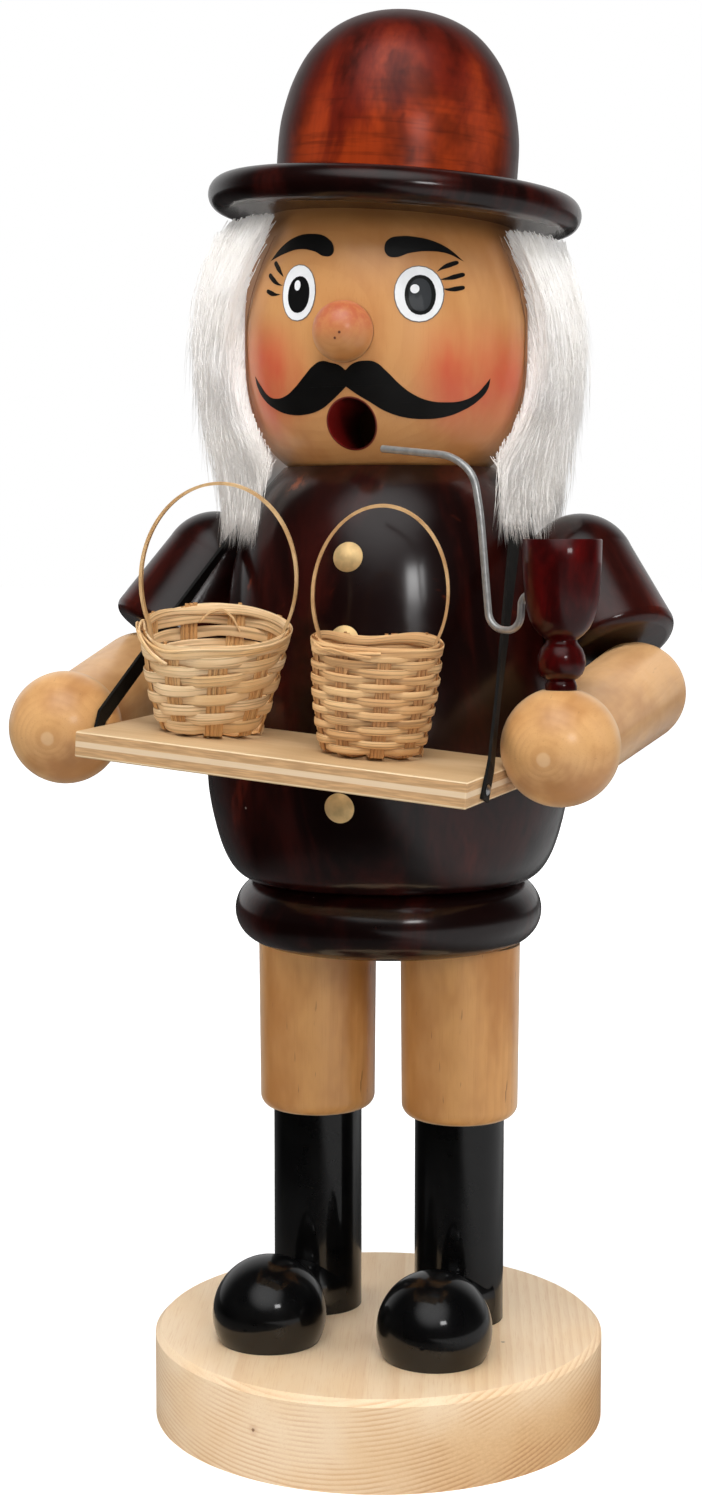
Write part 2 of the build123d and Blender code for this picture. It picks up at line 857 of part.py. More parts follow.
def pipe_bowl():
    foot = pipe_foot_diameter / 2
    bead = pipe_bead_diameter / 2
    cup = pipe_cup_diameter / 2
    cup_foot = pipe_height - pipe_cup_height
    waist = foot * pipe_waist_share
    swell = [at(cup * across, cup_foot + pipe_cup_height * up) for across, up in pipe_cup_outline_shares]
    edges = [
        Line(at(0, 0), at(foot, 0)),
        ThreePointArc(at(foot, 0), at(bead, cup_foot / 2), at(waist, cup_foot)),
        Spline([at(waist, cup_foot), *swell, at(cup, pipe_height)]),
        Line(at(cup, pipe_height), at(0, pipe_height)),
        Line(at(0, pipe_height), at(0, 0)),
    ]
    body = spin(edges)
    body -= Pos(0, 0, pipe_height - pipe_recess_depth) * Cylinder(
        pipe_recess_diameter / 2, pipe_recess_depth + overrun, align=upright
    )
    body += Pos(0, 0, -pipe_peg_depth) * Cylinder(
        pipe_peg_diameter / 2, pipe_peg_depth + overrun, align=upright
    )
    body = Pos(pipe_foot()) * body
    points = stem_points()
    return body - rod(stem_wire_diameter + 2 * dowel_gap, points[0], points[1])


def stem_radii(points):
    radii = []
    for before, here, after in zip(points, points[1:], points[2:]):
        arriving, leaving = here - before, after - here
        turn = math.radians(arriving.get_angle(leaving))
        shorter = min(arriving.length, leaving.length)
        radii.append(stem_bend_share * shorter / math.tan(turn / 2))
    return radii


def pipe_stem():
    points = stem_points()
    path = FilletPolyline(*points, radius=stem_radii(points))
    section = Plane(points[0], z_dir=points[1] - points[0]) * Circle(stem_wire_diameter / 2)
    return sweep(section, path)


# Buttons


def button_nails():
    nail = round_nail(button_diameter, button_height, button_shank_diameter, button_shank_length)
    return Compound([place * nail for place in button_places()])


# Neck strap


def shoulder_strap_point(angle):
    # A point of the strap on the shoulders, by its angle round from the front
    span = 2 * (half_turn - strap_shoulder_angle)
    across = math.sin(math.pi * (angle - strap_shoulder_angle) / span)
    height = torso_top - strap_shoulder_drop + strap_neck_rise * across
    curve = torso_curve()
    radius = radius_at(curve, height)
    step = strap_thickness
    lower = radius_at(curve, height - step)
    slope = Vector(step, 0, lower - radius).normalized()
    turn = math.radians(angle)
    outward = Vector(math.sin(turn), -math.cos(turn), 0)
    normal = outward * slope.X + Vector(0, 0, 1) * slope.Z
    sag = radius * (1 - math.cos(math.radians(span / strap_neck_steps / 2)))
    lift = strap_thickness / 2 + seat_gap + sag
    return outward * radius + Vector(0, 0, height) + normal * lift, normal


def tray_point(side, forward, up):
    lift = strap_thickness / 2 + seat_gap
    local = Pos(side * (tray_width / 2 + lift), -forward, up)
    return (tray_place() * local).position


def tray_normal(side):
    place = tray_place()
    return ((place * Pos(side, 0, 0)).position - place.position).normalized()


def strap_end(side):
    # Tail and edge points on the tray's end, and where the strap meets the shoulder
    tail = tray_point(side, strap_edge_forward + strap_tail, strap_thickness - tray_thickness / 2)
    edge = tray_point(side, strap_edge_forward, (tray_thickness + strap_width) / 2)
    angle = strap_shoulder_angle if side > 0 else 2 * half_turn - strap_shoulder_angle
    return tail, edge, shoulder_strap_point(angle)


def strap_run(side):
    # From the tail, straight for the first step, then turning to lie on the shoulder
    tail, edge, (shoulder, shoulder_normal) = strap_end(side)
    end_normal = tray_normal(side)
    run = [(tail, end_normal), (edge, end_normal)]
    for index in range(1, strap_run_steps):
        place = edge + (shoulder - edge) * index / strap_run_steps
        turned = (index - 1) / (strap_run_steps - 1)
        run.append((place, (end_normal * (1 - turned) + shoulder_normal * turned).normalized()))
    return run


def strap_stations():
    span = 2 * (half_turn - strap_shoulder_angle)
    neck = [
        shoulder_strap_point(2 * half_turn - strap_shoulder_angle - span * index / strap_neck_steps)
        for index in range(strap_neck_steps + 1)
    ]
    return strap_run(-1) + neck + strap_run(1)[::-1]


def neck_strap():
    stations = strap_stations()
    sections = []
    for index, (place, normal) in enumerate(stations):
        before = stations[max(index - 1, 0)][0]
        after = stations[min(index + 1, len(stations) - 1)][0]
        heading = (after - before).normalized()
        across = heading.cross(normal).normalized()
        sections.append(Plane(place, x_dir=across, z_dir=heading) * Rectangle(strap_width, strap_thickness))
    strap = loft(sections, ruled=True)
    for side in sides.values():
        strap -= tray_place() * strap_nail_hole(side)
    return strap


def strap_slots(side):
    # Room for the strap's tail and first step where the hand is glued over them
    stations = strap_run(side)[:3]
    width = strap_width + 2 * strap_slot_gap
    depth = strap_thickness + 2 * strap_slot_gap
    for (start, normal), (end, _) in zip(stations, stations[1:]):
        heading = (end - start).normalized()
        place = Location(Plane(start, x_dir=heading.cross(normal), z_dir=heading))
        yield place * Box(width, depth, (end - start).length, align=upright)


def strap_nail_place(side):
    # On the strap's outer face, in the middle of the tray's end, heading outward
    outward = tray_width / 2 + strap_thickness + 2 * seat_gap
    return Pos(side * outward, -strap_nail_forward, 0) * Rot(0, side * quarter_turn, 0)


def strap_nail_hole(side):
    radius = strap_nail_shank_diameter / 2 + dowel_gap
    drill = Cylinder(radius, strap_nail_length + dowel_gap + overrun, align=upright)
    return strap_nail_place(side) * Pos(0, 0, -strap_nail_length - dowel_gap) * drill


def strap_nails():
    nail = round_nail(
        strap_nail_head_diameter, strap_nail_head_height, strap_nail_shank_diameter, strap_nail_length
    )
    return Compound([tray_place() * strap_nail_place(side) * nail for side in sides.values()])


# Hair


def hair():
    # Thick cap of fur, open at the face, lying on the head, the strap and the shoulders
    span = hat_seat - hair_foot
    outer = scaled_spline(hair_outline_shares, head_diameter / 2 + hair_thickness, hair_foot, span)
    start, end = outer @ 0, outer @ 1
    edges = [
        Line(at(0, start.Z), start),
        outer,
        Line(end, at(0, end.Z)),
        Line(at(0, end.Z), at(0, start.Z)),
    ]
    mass = revolve(make_face(edges), Axis.Z, revolution_arc=2 * hair_half_angle)
    mass = Rot(0, 0, quarter_turn - hair_half_angle) * mass
    mass -= head_body(hair_gap)
    mass -= torso_body(hair_gap + 2 * strap_thickness)
    for side in sides.values():
        mass -= sleeve_body(side, hair_gap)
    above = Box(2 * brim_diameter, 2 * brim_diameter, head_height, align=upright)
    return mass - hat_place() * Pos(0, 0, -hair_gap) * above


write(base_plate(), "base_plate")
write_legs()
write(figure * waist_ring(), "waist_ring")
write(figure * incense_dish(), "incense_dish")
write(figure * dish_nail(), "dish_nail")
write(figure * torso(), "torso")
write(figure * head(), "head")
write(figure * nose(), "nose")
write(figure * hat_brim(), "hat_brim")
write(figure * hat_crown(), "hat_crown")
write_arms()
write(figure * tray(), "tray")
write_baskets()
write(figure * pipe_bowl(), "pipe_bowl")
write(figure * pipe_stem(), "pipe_stem")
write(figure * button_nails(), "button_nails")
write(figure * neck_strap(), "neck_strap")
write(figure * strap_nails(), "strap_nails")
write(figure * hair(), "hair")
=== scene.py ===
import math

import bpy
import numpy as np
from mathutils import Matrix, Vector
from mathutils.bvhtree import BVHTree


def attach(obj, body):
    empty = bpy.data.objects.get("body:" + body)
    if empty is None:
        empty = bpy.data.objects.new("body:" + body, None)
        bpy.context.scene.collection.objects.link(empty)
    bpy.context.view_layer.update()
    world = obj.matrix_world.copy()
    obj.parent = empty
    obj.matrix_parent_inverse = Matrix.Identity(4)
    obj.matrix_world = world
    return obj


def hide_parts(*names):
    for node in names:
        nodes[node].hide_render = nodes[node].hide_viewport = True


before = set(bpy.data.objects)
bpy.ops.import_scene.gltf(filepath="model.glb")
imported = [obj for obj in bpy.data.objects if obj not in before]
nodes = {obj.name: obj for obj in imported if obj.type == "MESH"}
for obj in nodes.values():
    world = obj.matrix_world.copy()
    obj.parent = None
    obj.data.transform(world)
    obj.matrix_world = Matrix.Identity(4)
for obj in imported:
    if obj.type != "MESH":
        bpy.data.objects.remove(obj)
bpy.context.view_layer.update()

mm = 0.001
figureAxis = Vector((0, 11.6 * mm, 0))  # the turned body stands a little behind the middle of the base
torsoTop = 315.4 * mm
upper = "upper_body"


# Small tools that every piece uses

def clearSelection():
    bpy.ops.object.select_all(action="DESELECT")


def makeActive(piece):
    clearSelection()
    piece.select_set(True)
    bpy.context.view_layer.objects.active = piece


def applyModifiers(piece):
    makeActive(piece)
    for modifier in list(piece.modifiers):
        bpy.ops.object.modifier_apply(modifier=modifier.name)


def smooth(piece, angle):
    makeActive(piece)
    bpy.ops.object.shade_smooth_by_angle(angle=math.radians(angle))


def faceOutwards(piece, merge=None):
    makeActive(piece)
    bpy.ops.object.mode_set(mode="EDIT")
    bpy.ops.mesh.select_all(action="SELECT")
    if merge:
        bpy.ops.mesh.remove_doubles(threshold=merge)
    bpy.ops.mesh.normals_make_consistent(inside=False)
    bpy.ops.object.mode_set(mode="OBJECT")


def setMaterial(piece, material):
    piece.data.materials.clear()
    piece.data.materials.append(material)


def settle(piece, material, node=None):
    # Gives a new piece of the upper body its finish, hides the node that it stands for and hangs it on the upper body
    setMaterial(piece, material)
    if node:
        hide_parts(node)
    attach(piece, upper)


def meshPiece(name, points, faces, uvs=None, edges=()):
    mesh = bpy.data.meshes.new(name)
    mesh.from_pydata([tuple(p) for p in points], list(edges), faces)
    if uvs is not None:
        layer = mesh.uv_layers.new(name="along")
        flat = np.array([uvs[v] for face in faces for v in face], np.float32)
        layer.data.foreach_set("uv", flat.ravel())
    mesh.update()
    piece = bpy.data.objects.new(name, mesh)
    bpy.context.scene.collection.objects.link(piece)
    return piece


def frameAlong(centre, axis):
    # A place whose Z runs along the axis
    turn = Vector(axis).to_track_quat("Z", "Y").to_matrix().to_4x4()
    return Matrix.Translation(centre) @ turn


def joined(*parts):
    return np.stack(parts, -1)


def darker(colour, share):
    return tuple(c * share for c in colour)


# Materials

class NodeTree:
    # A node tree, with short words for the nodes that the finishes are made of

    def __init__(self, tree):
        self.tree = tree

    def plug(self, value, socket):
        if isinstance(value, bpy.types.NodeSocket):
            self.tree.links.new(value, socket)
        elif socket.type == "RGBA":
            socket.default_value = (*value[:3], 1)
        else:
            socket.default_value = value

    def add(self, kind, inputs=None, **settings):
        node = self.tree.nodes.new("ShaderNode" + kind)
        for key, value in settings.items():
            setattr(node, key, value)
        for key, value in (inputs or {}).items():
            self.plug(value, node.inputs[key])
        return node.outputs

    def rings(self, vector, look):
        inputs = {"Vector": vector, "Ring Width": look["ringWidth"], "Wobble": look["wobble"]}
        return self.add("Group", inputs, node_tree=growthRings)

    def stain(self, vector, patchSize):
        return self.add("Group", {"Vector": vector, "Patch Size": patchSize}, node_tree=stainDepth)

    def lacquer(self, vector, specks):
        return self.add("Group", {"Vector": vector, "Speck Share": specks}, node_tree=lacquerSurface)

    def calc(self, operation, a, b=0.0, clamp=False):
        return self.add("Math", {0: a, 1: b}, operation=operation, use_clamp=clamp)[0]

    def times(self, a, b):
        return self.calc("MULTIPLY", a, b)

    def plus(self, a, b):
        return self.calc("ADD", a, b)

    def ramp(self, value, low, high, most=1.0):
        # Nought up to the low value, and all there is from the high one on
        inputs = {"Value": value, "From Min": low, "From Max": high, "To Max": most}
        return self.add("MapRange", inputs, interpolation_type="SMOOTHSTEP")["Result"]

    def mix(self, share, a, b):
        return self.add("Mix", {0: share, 6: a, 7: b}, data_type="RGBA")[2]

    def over(self, colour, layer, value, mask):
        # Lays one colour over another where the mask of a value shows
        return self.mix(self.ramp(value, *mask), colour, layer)

    def parts(self, vector):
        return self.add("SeparateXYZ", {"Vector": vector})

    def upright(self, x, z):
        return self.add("CombineXYZ", {"X": x, "Z": z})[0]

    def length(self, vector):
        return self.add("VectorMath", {0: vector}, operation="LENGTH")["Value"]

    def distance(self, vector, centre):
        return self.add("VectorMath", {0: vector, 1: centre}, operation="DISTANCE")["Value"]

    def stretched(self, vector, scale):
        return self.add("Mapping", {"Vector": vector, "Scale": scale})["Vector"]

    def noise(self, vector, scale, detail=2.0, rough=0.5, warp=0.0, stretch=None):
        if stretch:
            vector = self.stretched(vector, stretch)
        inputs = {"Vector": vector, "Scale": scale, "Detail": detail, "Roughness": rough, "Distortion": warp}
        return self.add("TexNoise", inputs)["Fac"]

    def place(self, place=None):
        # Object coordinates, turned so that the grain runs along Z of the given place
        vector = self.add("TexCoord")["Object"]
        if place is None:
            return vector
        inputs = {"Vector": vector, "Location": place.to_translation(), "Rotation": place.to_euler()}
        return self.add("Mapping", inputs, vector_type="TEXTURE")["Vector"]

    def slope(self):
        return self.add("LayerWeight", {"Blend": 0.5})["Facing"]

    def bump(self, height, strength, distance):
        inputs = {"Height": height, "Strength": strength, "Distance": distance}
        return self.add("Bump", inputs)["Normal"]

    def principled(self, sockets):
        shader = self.add("BsdfPrincipled", sockets)
        self.add("OutputMaterial", {"Surface": shader["BSDF"]})

    def lacquered(self, colour, surface, look):
        # Under a coat that is a little uneven, and dull in places
        dull = self.times(surface["Dull"], look["swing"])
        self.principled({
            "Base Color": colour, "Roughness": self.plus(dull, look["roughness"] - look["swing"] / 2),
            "Normal": self.bump(surface["Height"], look["relief"], 0.6 * mm), "Coat Weight": look["coat"],
            "Coat Roughness": look["coatRoughness"], "Specular IOR Level": look["specular"],
        })


def emptyTree(owner):
    owner.use_nodes = True
    owner.node_tree.nodes.clear()
    return NodeTree(owner.node_tree)


def newMaterial(name):
    material = bpy.data.materials.new(name)
    return material, emptyTree(material)


def newGroup(name, inputs, outputs):
    group = bpy.data.node_groups.new(name, "ShaderNodeTree")
    for label, value in inputs.items():
        kind = "NodeSocketVector" if value is None else "NodeSocketFloat"
        socket = group.interface.new_socket(label, in_out="INPUT", socket_type=kind)
        if value is not None:
            socket.default_value = value
    for label in outputs:
        group.interface.new_socket(label, in_out="OUTPUT", socket_type="NodeSocketFloat")
    leave = group.nodes.new("NodeGroupOutput")
    return group, NodeTree(group), group.nodes.new("NodeGroupInput").outputs, leave.inputs


def makeGrowthRings():
    group, tree, entry, leave = newGroup(
        "growthRings", {"Vector": None, "Ring Width": 0.002, "Wobble": 1.0}, ("Late Wood", "Fibre", "Patch")
    )
    vector = entry["Vector"]
    radius = tree.length(tree.stretched(vector, (1, 1, 0)))
    wander = tree.calc("SUBTRACT", tree.noise(vector, 28, 3, stretch=(1, 1, 0.12)), 0.5)
    turns = tree.calc("DIVIDE", radius, entry["Ring Width"])
    share = tree.calc("FRACT", tree.plus(turns, tree.times(wander, entry["Wobble"])))
    late = tree.times(tree.ramp(share, 0.3, 0.9), tree.ramp(share, 1.0, 0.93))
    strength = tree.ramp(tree.noise(vector, 60, 2, stretch=(1, 1, 0.05)), 0.3, 0.65)
    tree.plug(tree.times(late, strength), leave["Late Wood"])
    tree.plug(tree.noise(vector, 2300, 3, 0.6, stretch=(1, 1, 0.035)), leave["Fibre"])
    tree.plug(tree.noise(vector, 34, 4, 0.6, stretch=(1, 1, 0.4)), leave["Patch"])
    return group


def makeLacquerSurface():
    # Slight unevenness of a dipped lacquer, with specks of dust in it
    group, tree, entry, leave = newGroup(
        "lacquerSurface", {"Vector": None, "Speck Share": 0.02}, ("Height", "Dull", "Speck")
    )
    vector = entry["Vector"]
    fine = tree.times(tree.noise(vector, 900), 0.12)
    tree.plug(tree.plus(tree.noise(vector, 130), fine), leave["Height"])
    tree.plug(tree.ramp(tree.noise(vector, 75, 4, 0.65), 0.35, 0.75), leave["Dull"])
    cells = tree.add("TexVoronoi", {"Vector": vector, "Scale": 95.0})
    pick = tree.add("SeparateColor", {"Color": cells["Color"]})[0]
    chosen = tree.calc("LESS_THAN", pick, entry["Speck Share"])
    tree.plug(tree.times(chosen, tree.ramp(cells["Distance"], 0.05, 0.02)), leave["Speck"])
    return group


def makeStainDepth():
    # Where a wiped stain lies thick and where the wood shows through it
    group, tree, entry, leave = newGroup(
        "stainDepth", {"Vector": None, "Patch Size": 0.03}, ("Thin", "Streak", "Knot")
    )
    vector = entry["Vector"]
    scale = tree.calc("DIVIDE", 1.0, entry["Patch Size"])
    tree.plug(tree.noise(vector, scale, 5, 0.62, 0.6, stretch=(1, 1, 0.45)), leave["Thin"])
    tree.plug(tree.noise(vector, 520, 3, 0.6, stretch=(1, 1, 0.06)), leave["Streak"])
    tree.plug(tree.noise(vector, 42, 3, warp=1.6), leave["Knot"])
    return group


growthRings = makeGrowthRings()
lacquerSurface = makeLacquerSurface()
stainDepth = makeStainDepth()

# In these looks a mask is given by where it starts, where it is full and how strong it is there
honey = {
    "light": (0.64, 0.35, 0.138), "dark": (0.45, 0.21, 0.068), "late": (0.41, 0.18, 0.052),
    "fleckColour": (0.22, 0.09, 0.03), "pale": (0.80, 0.58, 0.36),
    "ringWidth": 1.9 * mm, "wobble": 2.4, "lateShare": 0.24, "patch": (0.40, 0.62),
    # rim: a painted sheen, pale towards the outline
    "fibre": (0.52, 0.75, 0.3), "fleck": (0.71, 0.76, 0.25), "rim": (0.5, 0.95, 0.25),
    "centre": 0.0, "centreRing": (5.2 * mm, 3.2 * mm), "centreSpot": (2.9 * mm, 2.1 * mm),
    "specks": 0.012, "roughness": 0.45, "swing": 0.14, "relief": 0.12, "specular": 0.5,
    "coat": 0.4, "coatRoughness": 0.2,
}
# The hands have a pale turning centre and a stronger painted sheen at the edges
handLook = dict(honey, dark=(0.43, 0.19, 0.056), centre=0.34, rim=(0.5, 0.95, 0.45))
thighLook = dict(
    honey, light=(0.65, 0.325, 0.105), dark=(0.46, 0.195, 0.048), late=(0.40, 0.15, 0.034),
    # A stronger painted sheen at the thighs' edges
    pale=(0.86, 0.62, 0.42), fleck=(0.71, 0.76, 0.7), rim=(0.5, 0.95, 0.8),
)
faceLook = dict(
    honey, light=(0.60, 0.29, 0.10), dark=(0.49, 0.205, 0.06), late=(0.47, 0.185, 0.053),
    fleck=(0.71, 0.76, 0.1),
)


def honeyWood(name, place, look=honey, tint=None):
    # Turned pale wood under honey coloured satin lacquer, painted paler towards its outline as a sheen
    material, tree = newMaterial(name)
    vector = tree.place(place)
    rings = tree.rings(vector, look)
    surface = tree.lacquer(vector, look["specks"])
    colour = tree.over(look["light"], look["dark"], rings["Patch"], look["patch"])
    colour = tree.mix(tree.times(rings["Late Wood"], look["lateShare"]), colour, look["late"])
    colour = tree.over(colour, look["dark"], rings["Fibre"], look["fibre"])
    fleck = tree.noise(vector, 620, stretch=(1, 1, 0.14))
    colour = tree.over(colour, look["fleckColour"], fleck, look["fleck"])
    # Painted sheen: paler where the surface turns away from the camera, towards the outline
    colour = tree.over(colour, look["pale"], tree.slope(), look["rim"])
    if look["centre"]:
        # The turning centre: a pale spot in a darker ring
        reach = tree.length(tree.stretched(vector, (1, 1, 0)))
        reach = tree.plus(reach, tree.times(rings["Patch"], 1 * mm))
        colour = tree.over(colour, look["late"], reach, (*look["centreRing"], look["centre"] / 2))
        colour = tree.over(colour, look["pale"], reach, (*look["centreSpot"], look["centre"]))
    if tint:
        colour = tint(tree, colour)
    tree.lacquered(colour, surface, look)
    return material


dark = {
    "thick": (0.0055, 0.0009, 0.0007), "middle": (0.027, 0.003, 0.0018), "thin": (0.085, 0.0085, 0.003),
    "glow": (0.22, 0.032, 0.006), "speck": (0.4, 0.36, 0.33),
    "wiped": (0.42, 0.62), "bare": (0.60, 0.76), "streak": (0.45, 0.8, 0.5), "knot": (0.70, 0.82, 0.7),
    "specks": 0.018, "roughness": 0.4, "swing": 0.12, "relief": 0.16, "specular": 0.12,
    "coat": 0.85, "coatRoughness": 0.15,
}
cherry = dict(
    dark, thick=(0.022, 0.0006, 0.0006), middle=(0.055, 0.001, 0.001), thin=(0.11, 0.0015, 0.0015),
    glow=(0.15, 0.003, 0.003), roughness=0.36, coat=0.5, coatRoughness=0.1,
)


def darkStain(name, place, patchSize, shift=0.0, look=dark, tint=None):
    # Very dark red brown stain under gloss lacquer
    material, tree = newMaterial(name)
    vector = tree.place(place)
    stain = tree.stain(vector, patchSize)
    surface = tree.lacquer(vector, look["specks"])
    wiped, bare = ([level - shift for level in look[mask]] for mask in ("wiped", "bare"))
    colour = tree.over(look["thick"], look["middle"], stain["Thin"], wiped)
    colour = tree.over(colour, look["thin"], stain["Thin"], bare)
    colour = tree.over(colour, look["thick"], stain["Streak"], look["streak"])
    colour = tree.over(colour, look["glow"], stain["Knot"], look["knot"])
    if tint:
        colour = tint(tree, colour)
    colour = tree.mix(surface["Speck"], colour, look["speck"])
    tree.lacquered(colour, surface, look)
    return material


crownLook = {
    "thick": (0.019, 0.0022, 0.0012), "middle": (0.12, 0.009, 0.003), "thin": (0.335, 0.037, 0.005),
    "patchSize": 0.034, "low": (0.05, 0.008), "lowThin": 0.2, "lowTurned": 0.4, "turnedShare": 0.15,
    "wiped": (0.36, 0.56), "bare": (0.52, 0.76), "turned": (0.46, 0.72), "streak": (0.48, 0.78, 0.14),
    # side: painted shade towards the outline
    "knot": (0.62, 0.74, 0.5), "blotch": (0.53, 0.66, 0.55), "side": (0.26, 0.74, 0.96),
    "specks": 0.01, "roughness": 0.42, "swing": 0.12, "relief": 0.14, "specular": 0.06,
    "coat": 0.38, "coatRoughness": 0.28,
}


def redStain(name, place):
    # Translucent red stain, thinner towards the brim, with dark blotches and painted shade towards its outline
    look = crownLook
    material, tree = newMaterial(name)
    vector = tree.place(place)
    stain = tree.stain(vector, look["patchSize"])
    surface = tree.lacquer(vector, look["specks"])
    low = tree.ramp(tree.parts(vector)["Z"], *look["low"])
    depth = tree.plus(stain["Thin"], tree.times(low, look["lowThin"]))
    colour = tree.over(look["thick"], look["middle"], depth, look["wiped"])
    colour = tree.over(colour, look["thin"], depth, look["bare"])
    turned = tree.ramp(tree.noise(vector, 460, 3, 0.6, stretch=(0.07, 0.07, 1)), *look["turned"])
    turned = tree.times(turned, tree.plus(tree.times(low, look["lowTurned"]), look["turnedShare"]))
    colour = tree.mix(turned, colour, look["thick"])
    blotch = tree.noise(vector, 33, 4, 0.6, stretch=(1, 1, 0.7))
    # Painted shade: darker towards the outline, where the way of the light through the stain is longer as it is seen
    # from the side
    masks = {"streak": stain["Streak"], "knot": stain["Knot"], "blotch": blotch, "side": tree.slope()}
    for mask, value in masks.items():
        colour = tree.over(colour, look["thick"], value, look[mask])
    tree.lacquered(colour, surface, look)
    return material


gloss = {
    "deep": (0.0015, 0.0015, 0.0017), "dull": (0.0035, 0.0035, 0.0035), "speck": (0.2, 0.2, 0.2), "specks": 0.01,
    "roughness": 0.35, "coat": 0.75, "coatRoughness": 0.09, "specular": 0.1,
}


def blackGloss(name):
    material, tree = newMaterial(name)
    surface = tree.lacquer(tree.place(), gloss["specks"])
    colour = tree.mix(surface["Dull"], gloss["deep"], gloss["dull"])
    tree.principled({
        "Base Color": tree.mix(surface["Speck"], colour, gloss["speck"]), "Roughness": gloss["roughness"],
        "Normal": tree.bump(surface["Height"], 0.12, 0.5 * mm), "Coat Weight": gloss["coat"],
        "Coat Roughness": gloss["coatRoughness"], "Specular IOR Level": gloss["specular"],
    })
    return material


pine = {
    "light": (0.92, 0.71, 0.48), "warm": (0.88, 0.635, 0.385), "late": (0.68, 0.38, 0.17),
    "brown": (0.46, 0.19, 0.06), "warmSide": (0.70, 0.42, 0.18),
    "ringWidth": 1.6 * mm, "wobble": 1.6, "topRings": 0.3, "sideRings": 0.62, "grainTurn": 14,
    "pithHeight": 175 * mm, "pithSide": -22 * mm, "patch": (0.35, 0.7), "fibre": (0.5, 0.72, 0.3),
    "edge": (29.3 * mm, 28.6 * mm), "low": (29.4 * mm, 12 * mm), "leftwards": (-5 * mm, 78 * mm),
    "warmShare": 0.85, "grit": (0.38, 0.62, 0.35), "brownShare": 0.6,
    "marks": (
        {"place": (-19.7 * mm, -72.4 * mm, 16.1 * mm), "reach": (1.3 * mm, 0.9 * mm, 0.9),
         "colour": (0.10, 0.03, 0.012)},
        {"place": (-19.7 * mm, -72.4 * mm, 16.1 * mm), "reach": (3.2 * mm, 1.2 * mm, 0.3),
         "colour": (0.52, 0.24, 0.08)},
        {"place": (45.4 * mm, -9.8 * mm, 29.5 * mm), "reach": (1.4 * mm, 0.9 * mm, 0.75),
         "colour": (0.16, 0.08, 0.04)},
    ),
}


def pineBoard():
    # Flat sawn board, its heart above the disc, its end grain towards the front
    material, tree = newMaterial("pineBase")
    turn = math.radians(pine["grainTurn"])
    grain = Vector((math.sin(turn), -math.cos(turn), 0))
    side = Vector((math.cos(turn), math.sin(turn), 0))
    heart = tree.place(frameAlong(side * pine["pithSide"] + Vector((0, 0, pine["pithHeight"])), grain))
    rings = tree.rings(heart, pine)
    place = tree.place()
    x, y, z = tree.parts(place)
    colour = tree.over(pine["light"], pine["warm"], rings["Patch"], pine["patch"])
    shown = tree.ramp(z, *pine["edge"], pine["sideRings"] - pine["topRings"])
    shown = tree.times(tree.plus(shown, pine["topRings"]), rings["Late Wood"])
    colour = tree.mix(shown, colour, pine["late"])
    colour = tree.over(colour, pine["late"], rings["Fibre"], pine["fibre"])
    # The side is browner and more speckled towards the figure's left and along its foot
    browner = tree.times(tree.ramp(x, *pine["leftwards"]), tree.ramp(z, *pine["low"]))
    colour = tree.mix(tree.times(browner, pine["warmShare"]), colour, pine["warmSide"])
    grit = tree.ramp(tree.noise(place, 700, 4, 0.7, stretch=(1, 1, 2.2)), *pine["grit"])
    lines = tree.times(tree.plus(rings["Late Wood"], grit), browner)
    colour = tree.mix(tree.calc("MULTIPLY", lines, pine["brownShare"], clamp=True), colour, pine["brown"])
    for spot in pine["marks"]:
        gap = tree.plus(tree.distance(place, spot["place"]), tree.times(tree.noise(place, 900), 1.2 * mm))
        colour = tree.over(colour, spot["colour"], gap, spot["reach"])
    height = tree.plus(tree.times(rings["Late Wood"], 0.5), rings["Fibre"])
    tree.principled({
        "Base Color": colour, "Roughness": 0.5, "Normal": tree.bump(height, 0.15, 0.3 * mm),
        "Coat Weight": 0.25, "Coat Roughness": 0.3,
    })
    return material


trayPlace = (
    Matrix.Translation((0.3 * mm, (11.6 - 97.1) * mm, 227.5 * mm))
    @ Matrix.Rotation(math.radians(-6.75), 4, "Z")
    @ Matrix.Rotation(math.radians(4.66), 4, "Y")
    @ Matrix.Rotation(math.radians(2.03), 4, "X")
)
ply = {
    "face": (0.58, 0.40, 0.22), "faceDark": (0.46, 0.295, 0.145), "cross": (0.44, 0.26, 0.12),
    "crossLight": (0.60, 0.36, 0.17), "core": (0.70, 0.53, 0.35), "coreDark": (0.68, 0.50, 0.31),
    "veneer": (0.72, 0.55, 0.34), "middle": 0.1 * mm, "coreHalf": 0.85 * mm, "crossTop": 3.3 * mm,
    "faceTop": 3.63 * mm, "glueLine": 0.12 * mm, "faceEdge": 0.05 * mm,
}


def plywood():
    material, tree = newMaterial("plywoodTray")
    vector = tree.place(trayPlace)
    height = tree.parts(vector)["Z"]
    up = tree.calc("ABSOLUTE", tree.calc("SUBTRACT", height, ply["middle"]))
    fibre = tree.noise(vector, 1500, 3, 0.6, stretch=(0.03, 1, 1))
    patch = tree.noise(vector, 60, 3, stretch=(0.25, 1, 1))
    layered = tree.noise(vector, 1500, 3, stretch=(0.08, 0.08, 1))
    face = tree.over(ply["face"], ply["faceDark"], patch, (0.35, 0.7))
    face = tree.over(face, ply["cross"], fibre, (0.48, 0.7, 0.5))
    cross = tree.over(ply["cross"], ply["crossLight"], layered, (0.35, 0.68))
    colour = tree.over(ply["core"], ply["coreDark"], fibre, (0.4, 0.75))
    # From the core outwards each ply takes over where the last one ends
    layers = ((ply["coreHalf"], "glueLine", cross), (ply["crossTop"], "glueLine", ply["veneer"]),
              (ply["faceTop"], "faceEdge", face))
    for level, soft, layer in layers:
        colour = tree.over(colour, layer, up, (level - ply[soft], level + ply[soft]))
    tree.principled({"Base Color": colour, "Roughness": 0.55, "Normal": tree.bump(fibre, 0.2, 0.2 * mm)})
    return material


